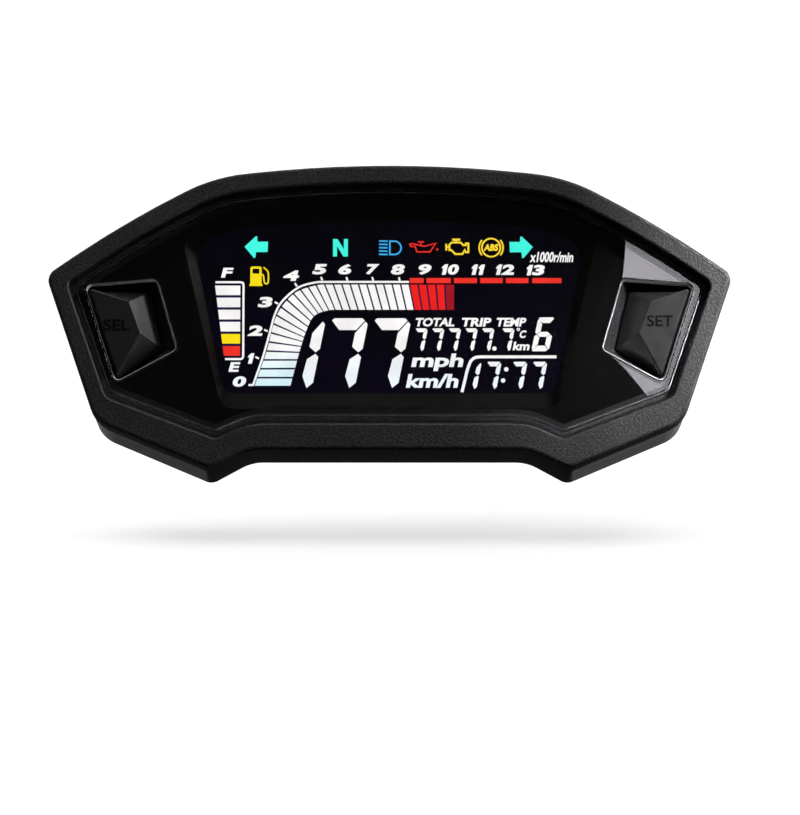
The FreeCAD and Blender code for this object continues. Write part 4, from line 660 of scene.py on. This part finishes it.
# Rev counter: (bar number, outer edge, inner edge) where the band bends.
BAND = [(0, (-29.8, -14.75), (-21.9, -14.75)),
        (4, (-27.1, -6.8), (-19.9, -7.1)),
        (8, (-24.9, 1.2), (-18.5, -2.6)),
        (11, (-21.2, 6.0), (-16.7, 1.0)),
        (14, (-16.2, 7.95), (-13.4, 2.35)),
        (16, (-12.4, 8.1), (-10.4, 2.45)),
        (25, (4.4, 8.1), (5.5, 2.45)),
        (30, (14.3, 8.1), (14.3, 2.45))]
RED_FROM = 25
BAR_COUNT = 30
BAR_GAP = 0.2
HALO_STEPS = 60
OUTLINE_WIDTH = 0.46
TICK_WIDTH = 0.42
TICK_REACH = 0.42
REDLINE_FOOT = 8.45
REDLINE_TOP = 9.6


def band_edge(side, at):
    return spline([(knot[0], knot[side]) for knot in BAND], at)


def band_bar(artwork, first, last):
    """One bar of the rev counter band, between two bar numbers."""
    stops = [first + (last - first) * i / 3 for i in range(4)]
    artwork.strip([band_edge(1, at) for at in stops], [band_edge(2, at) for at in stops])


def rev_counter(white, red, glow):
    bars = Artwork()
    red_bars = Artwork()
    for number in range(BAR_COUNT - 1):
        group = red_bars if number >= RED_FROM else bars
        band_bar(group, number + BAR_GAP / 2, number + 1 - BAR_GAP / 2)
    show("display_rev_bars", bars, lit("segment_bars", (246, 244, 242), 1.15, (212, 240, 246)))
    show("display_rev_bars_red", red_bars, lit("segment_red_bars", (236, 26, 20), 1.1))
    dark = Artwork()
    band_bar(dark, BAR_COUNT - 1 + BAR_GAP / 2, BAR_COUNT)
    show("display_rev_bar_last", dark, lit("segment_dark_red", (165, 10, 28)))
    stops = [BAR_COUNT * i / HALO_STEPS for i in range(HALO_STEPS + 1)]
    glow.strip([band_edge(1, at) for at in stops], [band_edge(2, at) for at in stops])
    bend = rounded([(-30.1, -14.4), (-28.0, -8.3), (-26.5, -2.9), (-25.3, 1.5), (-23.6, 4.5),
                    (-20.1, 7.5), (-16.4, 8.6), (-14.4, 8.72)])
    white.stroke([(-31.1, -14.4)] + bend + [(4.3, 8.72)], OUTLINE_WIDTH)
    for start, end in [(4.5, 7.6), (8.2, 13.6), (14.3, 19.4), (20.1, 25.1), (25.8, 30.8),
                       (31.6, 38.1)]:
        red.polygon([(start, REDLINE_FOOT), (end, REDLINE_FOOT), (end, REDLINE_TOP),
                     (start, REDLINE_TOP)])
    # x, z and the angle in degrees that each tick leans by
    ticks = [(-29.2, -8.3, 25), (-27.3, -2.2, 25), (-25.0, 4.0, 30), (-20.7, 8.1, 55),
             (-15.0, 9.45, 70), (-9.4, 9.4, 70), (-3.7, 9.4, 72), (2.2, 9.35, 75)]
    for x, z, degrees in ticks:
        away = Vector((-math.cos(math.radians(degrees)), math.sin(math.radians(degrees))))
        here = Vector((x, z))
        white.stroke([tuple(here + away * TICK_REACH), tuple(here - away * TICK_REACH)],
                     TICK_WIDTH)


def rev_numbers(white):
    """The scale: (number, centre, base, width). Its figures are all of one height."""
    scale = [("0", -33.1, -14.8, 3.5), ("1", -30.6, -9.65, 2.2), ("2", -29.5, -3.4, 3.8),
             ("3", -27.4, 3.0, 3.6), ("4", -21.7, 8.95, 4.0), ("5", -15.4, 10.4, 3.5),
             ("6", -9.8, 10.4, 3.5), ("7", -3.8, 10.4, 3.2), ("8", 1.9, 10.35, 3.5),
             ("9", 7.8, 10.35, 3.5), ("10", 13.4, 10.35, 4.5), ("11", 19.5, 10.3, 3.5),
             ("12", 25.6, 10.3, 4.9), ("13", 32.3, 10.2, 4.7)]
    for number, centre, base, width in scale:
        white.figures(number, centre, base, width)


def fuel_gauge(white, yellow, red, glow):
    """The level bars, between F and E, and the pump beside them."""
    white.text("F", -35.9, 9.7, 2.8, 2.2, 0.25, 0.04)
    white.text("E", -34.2, -11.45, 2.7, 2.15, 0.25, 0.04)
    white.stroke([(-38.5, 8.65), (-32.9, 8.65), (-32.45, 8.5), (-32.3, 8.1), (-32.3, -8.0),
                  (-32.45, -8.4), (-32.8, -8.6), (-36.3, -8.6)], OUTLINE_WIDTH)
    bar_right = -33.0
    first_left = -38.6
    first_top = 7.9
    pitch = 2.72
    bar_height = 2.15
    lean = 0.128
    for row, group in enumerate([white, white, white, white, yellow, red]):
        top = first_top - row * pitch
        foot = top - bar_height
        left = first_left + lean * (first_top - top)
        group.polygon([(left, top), (bar_right, top), (bar_right, foot), (left + 0.27, foot)])
    glow.polygon([(-38.6, 8.1), (bar_right, 8.1), (bar_right, -7.95), (-36.5, -7.95)])
    yellow.strip([(-30.8, 8.2), (-30.8, 11.9), (-30.5, 12.2), (-28.6, 12.2), (-28.3, 11.9),
                 (-28.3, 8.2)],
                [(-30.3, 8.2), (-30.3, 11.6), (-30.2, 11.7), (-28.9, 11.7), (-28.8, 11.6),
                 (-28.8, 8.2)])
    yellow.polygon([(-30.35, 8.2), (-28.75, 8.2), (-28.75, 10.6), (-30.35, 10.6)])
    yellow.polygon([(-31.0, 7.8), (-28.1, 7.8), (-28.1, 8.25), (-31.0, 8.25)])
    hose = rounded([(-28.3, 10.5), (-27.9, 10.1), (-27.7, 8.7), (-27.25, 8.3), (-26.85, 8.7),
                    (-26.8, 10.5), (-27.1, 11.3), (-27.9, 12.0)])
    yellow.stroke(hose, 0.33)


# Width, height and bar thickness of each size of seven-segment figure.
SPEED_DIGIT = (8.3, 15.6, 2.4)
TOTAL_DIGIT = (2.75, 5.1, 0.78)
CLOCK_DIGIT = (3.2, 6.1, 0.95)
GEAR_DIGIT = (3.9, 7.6, 1.15)


def speed_and_totals(white):
    """Speed, the small total with its headings and units, and the gear."""
    speed_pitch = 9.44
    total_pitch = 3.683
    for index, shown in enumerate("177"):
        digit(white, shown, -17.1 + speed_pitch * index, -15.05, *SPEED_DIGIT)
    for right in [7.5 + total_pitch * index for index in range(5)] + [26.7]:
        digit(white, "7", right, -6.8, *TOTAL_DIGIT)
    white.disc(23.2, -6.25, 0.48)
    for name, centre, width in [("TOTAL", 10.1, 9.2), ("TRIP", 19.2, 7.0), ("TEMP", 26.9, 7.0)]:
        white.text(name, centre, -1.3, width, 1.95, 0.22, 0.04)
    white.ring(28.5, -1.95, 0.27, 0.22)
    white.text("C", 29.5, -3.9, 1.75, 1.75, 0.22, 0.04)
    white.text("km", 29.2, -6.65, 4.0, 1.95, 0.2, 0.035)
    white.text("mph", 10.65, -11.3, 12.1, 3.95, 0.2, 0.035)
    white.text("km/h", 9.6, -15.05, 12.0, 3.15, 0.2, 0.035)
    digit(white, "6", 35.2, -6.85, *GEAR_DIGIT, 0.22)


def clock(white):
    corner = rounded([(17.1, -11.4), (17.6, -9.9), (18.1, -8.9), (19.0, -8.25), (20.1, -8.1)])
    white.stroke([(16.0, -16.0), (16.6, -13.6)] + corner + [(36.9, -8.1)], 0.66)
    for shown, right in [("1", 19.2), ("7", 23.6), ("7", 29.3), ("7", 33.7)]:
        digit(white, shown, right, -15.3, *CLOCK_DIGIT)
    for x, z in [(25.8, -10.9), (25.1, -13.4)]:
        white.disc(x, z, 0.5)


def warning_lights(cyan, blue, red, amber, white):
    arrow = [(0, 0), (2.45, 2.35), (2.8, 2.35), (2.85, 1.15), (5.2, 1.15), (5.1, -1.2),
             (2.55, -1.2), (2.4, -2.5), (2.05, -2.5)]
    cyan.polygon([(-32.1 + u, 16.65 + v) for u, v in arrow])
    cyan.polygon([(31.8 - u, 16.6 + v) for u, v in arrow])
    cyan.polygon([(-12.5, 14.45), (-12.5, 18.4), (-11.5, 18.4), (-10.1, 16.1),
                  (-10.1, 18.4), (-9.2, 18.4), (-9.2, 14.45), (-10.2, 14.45),
                  (-11.6, 16.75), (-11.6, 14.45)])
    for row in range(5):
        height = 17.95 - 0.75 * row
        blue.stroke([(-2.3, height), (-0.4, height - 0.05)], 0.34)
    blue.stroke([(0.1, 14.9), (0.1, 17.9), (1.0, 17.9)]
                + arc(1.1, 16.4, 1.5, 85, -85, 12) + [(1.0, 14.9)], 0.36, closed=True)
    red.stroke([(5.1, 17.35), (7.7, 16.75), (10.3, 17.45), (9.0, 15.5), (6.1, 15.5),
                (5.7, 16.75), (4.75, 16.7), (4.5, 17.2)], 0.3, closed=True)
    red.stroke([(7.0, 16.9), (7.0, 17.7)], 0.3)
    red.stroke([(6.3, 17.75), (7.7, 17.75)], 0.3)
    red.polygon([(10.6, 16.5), (10.85, 16.0), (10.6, 15.7), (10.35, 16.0)])
    amber.stroke([(13.8, 17.6), (15.8, 17.6), (16.4, 17.0), (16.9, 17.0), (16.95, 17.4),
                  (17.5, 17.4), (17.5, 15.4), (16.95, 15.4), (16.7, 15.9), (16.2, 15.0),
                  (14.6, 15.0), (13.7, 15.9), (13.3, 15.9), (13.3, 17.1)], 0.42, closed=True)
    amber.stroke([(12.6, 17.3), (12.6, 15.8)], 0.42)
    amber.stroke([(12.7, 16.6), (13.2, 16.6)], 0.42)
    amber.stroke([(13.9, 18.25), (15.7, 18.25)], 0.5)
    amber.stroke([(14.8, 18.2), (14.8, 17.7)], 0.5)
    amber.ring(22.55, 16.45, 2.05, 0.36)
    amber.text("ABS", 22.55, 15.7, 3.4, 1.55, 0.15, 0.05)
    for start in (140, -40):
        amber.stroke(arc(22.55, 16.45, 2.65, start, start + 80, 10), 0.34)
    white.text("x1000r/min", 36.0, 13.15, 9.9, 2.35, 0.15, 0.03)


def display():
    white, cyan, blue, red, amber, yellow, glow = (Artwork() for _ in range(7))
    rev_counter(white, red, glow)
    rev_numbers(white)
    fuel_gauge(white, yellow, red, glow)
    speed_and_totals(white)
    clock(white)
    warning_lights(cyan, blue, red, amber, white)
    show("display_halo", glow, lit("segment_halo", (22, 14, 62)), HALO_SINK)
    show("display_white", white, lit("segment_white", (247, 245, 243), 1.15, (236, 245, 248)))
    show("display_cyan", cyan, lit("segment_cyan", (66, 246, 224), 1.1))
    show("display_blue", blue, lit("segment_blue", (60, 172, 236), 1.1))
    show("display_red", red, lit("segment_red", (240, 46, 34), 1.1))
    show("display_amber", amber, lit("segment_amber", (253, 218, 50), 1.1))
    show("display_yellow", yellow, lit("segment_yellow", (253, 226, 10), 1.1))


# --------------------------------------------------------------------- key lettering
LETTERS_WIDTH = 5.7
LETTERS_HEIGHT = 2.5
LETTERS_RAISED = 0.06 * MM
LETTERS_THICKNESS = 0.2 * MM


def key_letters():
    """Raised generic function names on the flat top of each key."""
    ink = moulded("letter_ink", (0.0015, 0.0015, 0.0017), 0.5, 0.1, 0.004,
                  Specular_IOR_Level=0.12)
    for name, side, centre, base in [("SET", "right", 59.6, -2.1), ("SEL", "left", -60.1, -3.0)]:
        letters = Artwork()
        letters.text(name, centre, base, LETTERS_WIDTH, LETTERS_HEIGHT, 0.0, 0.015)
        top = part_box("keycap_" + side)[0].y
        letters.build("key_letters_" + side, top - LETTERS_RAISED, LETTERS_THICKNESS, ink,
                      "key_" + side, "key_plastic")


# --------------------------------------------------------------------- studio
CAMERA_AIM = Vector((0, RIM_FRONT, 0))
CAMERA_TILT = math.radians(-10)
CAMERA_DISTANCE = 1.2
CAMERA_LENS = 241
CAMERA_SHIFT = (0.013, -0.1129)
FLOOR_TILT = math.radians(18)
FLOOR_POINT = Vector((0, -0.005, -0.0418))
FLOOR_REACH = 4.0
FLOOR_COLOUR = (0.42, 0.42, 0.42)
FLOOR_GLOW = 0.70
FLOOR_BOUNCE = (0.07, 0.07, 0.07)
CARD_Y = -2.0
CLUSTER_MIDDLE = (0, -0.02, 0)


def camera():
    """A long lens below the cluster's horizon, looking slightly up at it."""
    data = bpy.data.cameras.new("camera")
    data.lens = CAMERA_LENS
    data.sensor_width = 36
    data.shift_x, data.shift_y = CAMERA_SHIFT
    data.clip_start = 0.01
    made = bpy.data.objects.new("camera", data)
    back = Vector((0, -math.cos(CAMERA_TILT), math.sin(CAMERA_TILT)))
    made.location = CAMERA_AIM + back * CAMERA_DISTANCE
    made.rotation_euler = (math.pi / 2 - CAMERA_TILT, 0, 0)
    bpy.context.scene.collection.objects.link(made)
    bpy.context.scene.camera = made
    return made


def floor():
    """A plain pale sheet under the cluster, rising away so that it closes the view.

    The camera sees it pale, the cluster sees it dark, and from below it is clear.
    """
    graph = Graph("pale_floor")
    path = graph.add("LightPath")
    paper = graph.remap(graph.noise(30), 0.3, 0.7, 0.985, 1.0)
    seen = graph.add("BsdfPrincipled", Base_Color=graph.scale(FLOOR_COLOUR, paper),
                     Roughness=1.0, Specular_IOR_Level=0.0, Emission_Color=(1, 1, 1),
                     Emission_Strength=FLOOR_GLOW)
    unseen = graph.add("BsdfDiffuse", Color=FLOOR_BOUNCE)
    open_back = graph.add("BsdfTransparent")
    facing = graph.add("MixShader", Fac=path.outputs["Is Camera Ray"])
    graph.tree.links.new(unseen.outputs[0], facing.inputs[1])
    graph.tree.links.new(seen.outputs[0], facing.inputs[2])
    whole = graph.add("MixShader", Fac=graph.add("NewGeometry").outputs["Backfacing"])
    graph.tree.links.new(facing.outputs[0], whole.inputs[1])
    graph.tree.links.new(open_back.outputs[0], whole.inputs[2])
    along = Vector((0, math.cos(FLOOR_TILT), math.sin(FLOOR_TILT)))
    across = Vector((1, 0, 0))
    corners = [FLOOR_POINT + (across * i + along * k) * FLOOR_REACH
               for i, k in ((-1, -1), (1, -1), (1, 1), (-1, 1))]
    mesh = bpy.data.meshes.new("floor")
    mesh.from_pydata(corners, [], [(0, 1, 2, 3)])
    mesh.materials.append(graph.finish(whole.outputs[0]))
    made = bpy.data.objects.new("floor", mesh)
    bpy.context.scene.collection.objects.link(made)
    return made


def world():
    """White to the camera. As light it is dim in front, so the lens stays dark."""
    made = bpy.data.worlds.new("studio")
    made.use_nodes = True
    tree = made.node_tree
    tree.nodes.clear()
    path = tree.nodes.new("ShaderNodeLightPath")
    direction = tree.nodes.new("ShaderNodeTexCoord")
    split = tree.nodes.new("ShaderNodeSeparateXYZ")
    dim = tree.nodes.new("ShaderNodeMapRange")
    front, back, front_level, back_level = -0.6, 1.0, 0.015, 0.8
    for socket, value in zip(dim.inputs[1:5], (front, back, front_level, back_level)):
        socket.default_value = value
    level = tree.nodes.new("ShaderNodeMix")
    level.inputs["B"].default_value = 1.0
    light = tree.nodes.new("ShaderNodeBackground")
    output = tree.nodes.new("ShaderNodeOutputWorld")
    tree.links.new(direction.outputs["Generated"], split.inputs[0])
    tree.links.new(split.outputs["Y"], dim.inputs["Value"])
    tree.links.new(path.outputs["Is Camera Ray"], level.inputs["Factor"])
    tree.links.new(dim.outputs[0], level.inputs["A"])
    tree.links.new(level.outputs[0], light.inputs["Strength"])
    tree.links.new(light.outputs[0], output.inputs["Surface"])
    bpy.context.scene.world = made


def softbox(name, place, width, height, power):
    """A rectangular area light, in metres and watts, aimed at the cluster's middle."""
    data = bpy.data.lights.new(name, "AREA")
    data.shape = "RECTANGLE"
    data.size = width
    data.size_y = height
    data.energy = power
    made = bpy.data.objects.new(name, data)
    made.location = place
    towards = Vector(CLUSTER_MIDDLE) - Vector(place)
    made.rotation_euler = towards.to_track_quat("-Z", "Y").to_euler()
    bpy.context.scene.collection.objects.link(made)
    return made


def reflection_card(eye):
    """A bright card whose mirror image lies on the right end of the lens.

    The outline is given in mm on the lens and carried to the card along mirrored sight
    lines, so the reflection ends where a studio softbox would end.
    """
    on_lens = [(53.0, 60.0), (52.2, 17.0), (51.5, 9.0), (47.2, -7.0), (51.9, -11.2),
               (56.5, -17.2), (64.0, -30.0), (120.0, -30.0), (120.0, 60.0)]
    mirrored = Vector((eye.x, 2 * LENS_FRONT - eye.y, eye.z))
    corners = []
    for x, z in on_lens:
        point = Vector((x * MM, LENS_FRONT, z * MM))
        step = (CARD_Y - mirrored.y) / (point.y - mirrored.y)
        corners.append(mirrored + (point - mirrored) * step)
    graph = Graph("card_light")
    fabric = graph.remap(graph.noise(160, 1), 0.3, 0.7, 4.7, 5.6)
    light = graph.add("Emission", Color=(0.96, 0.93, 1.0), Strength=fabric)
    mesh = bpy.data.meshes.new("reflection_card")
    mesh.from_pydata(corners, [], [list(range(len(corners)))])
    mesh.materials.append(graph.finish(light.outputs[0]))
    card = bpy.data.objects.new("reflection_card", mesh)
    bpy.context.scene.collection.objects.link(card)
    card.visible_camera = False
    card.visible_diffuse = False


def light_only(lights, receiver, rule):
    """Limits lights to one object ("INCLUDE") or keeps them off it ("EXCLUDE")."""
    group = bpy.data.collections.new(f"{rule.lower()}_{receiver.name}")
    group.objects.link(receiver)
    group.collection_objects[0].light_linking.link_state = rule
    for light in lights:
        light.light_linking.receiver_collection = group


def end_spot():
    """A soft spot on the right end, so the grain there stands out as in a studio shot."""
    data = bpy.data.lights.new("right_spot", "SPOT")
    data.energy = 24.0
    data.spot_size = math.radians(9)
    data.spot_blend = 1.0
    data.shadow_soft_size = 0.02
    made = bpy.data.objects.new("right_spot", data)
    made.location = (0.28, -0.28, 0.22)
    right_tip = Vector((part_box("front_case")[1].x - 0.002, RIM_FRONT, 0.001))
    made.rotation_euler = (right_tip - made.location).to_track_quat("-Z", "Y").to_euler()
    bpy.context.scene.collection.objects.link(made)
    return made


def floor_sun():
    """A wide sun that only lights the floor and gives the cluster its soft shadow."""
    data = bpy.data.lights.new("floor_sun", "SUN")
    data.energy = 3.1
    data.angle = math.radians(82)
    made = bpy.data.objects.new("floor_sun", data)
    bpy.context.scene.collection.objects.link(made)
    return made


def studio():
    """The camera, the floor, the world and the lights, each kept to what it is for."""
    eye = camera().location
    sheet = floor()
    world()
    reflection_card(eye)
    object_lights = [
        softbox("right_softbox", (0.40, -0.10, 0.14), 0.12, 0.16, 1.6),
        softbox("top_softbox", (0.15, -0.35, 0.75), 0.7, 0.3, 2.3),
        softbox("rear_softbox", (-0.3, 0.8, 0.7), 0.8, 0.5, 14.0),
        end_spot(),
    ]
    light_only(object_lights, sheet, "EXCLUDE")
    light_only([floor_sun()], sheet, "INCLUDE")
    housing_lights = [
        softbox("left_edge", (-0.9, -0.07, 0.16), 0.2, 0.3, 26.0),
        softbox("right_edge", (0.9, -0.07, 0.16), 0.2, 0.3, 44.0),
    ]
    light_only(housing_lights, frame["nodes"]["rear_housing"], "INCLUDE")
    bpy.context.scene.view_settings.view_transform = "Standard"


# --------------------------------------------------------------------- assembly
def paint_nodes():
    finishes = slot_materials()
    for name, node in frame["nodes"].items():
        for slot in node.material_slots:
            slot.material = finishes[SLOTS[name]]


paint_nodes()
lens_print()
display()
key_letters()
studio()
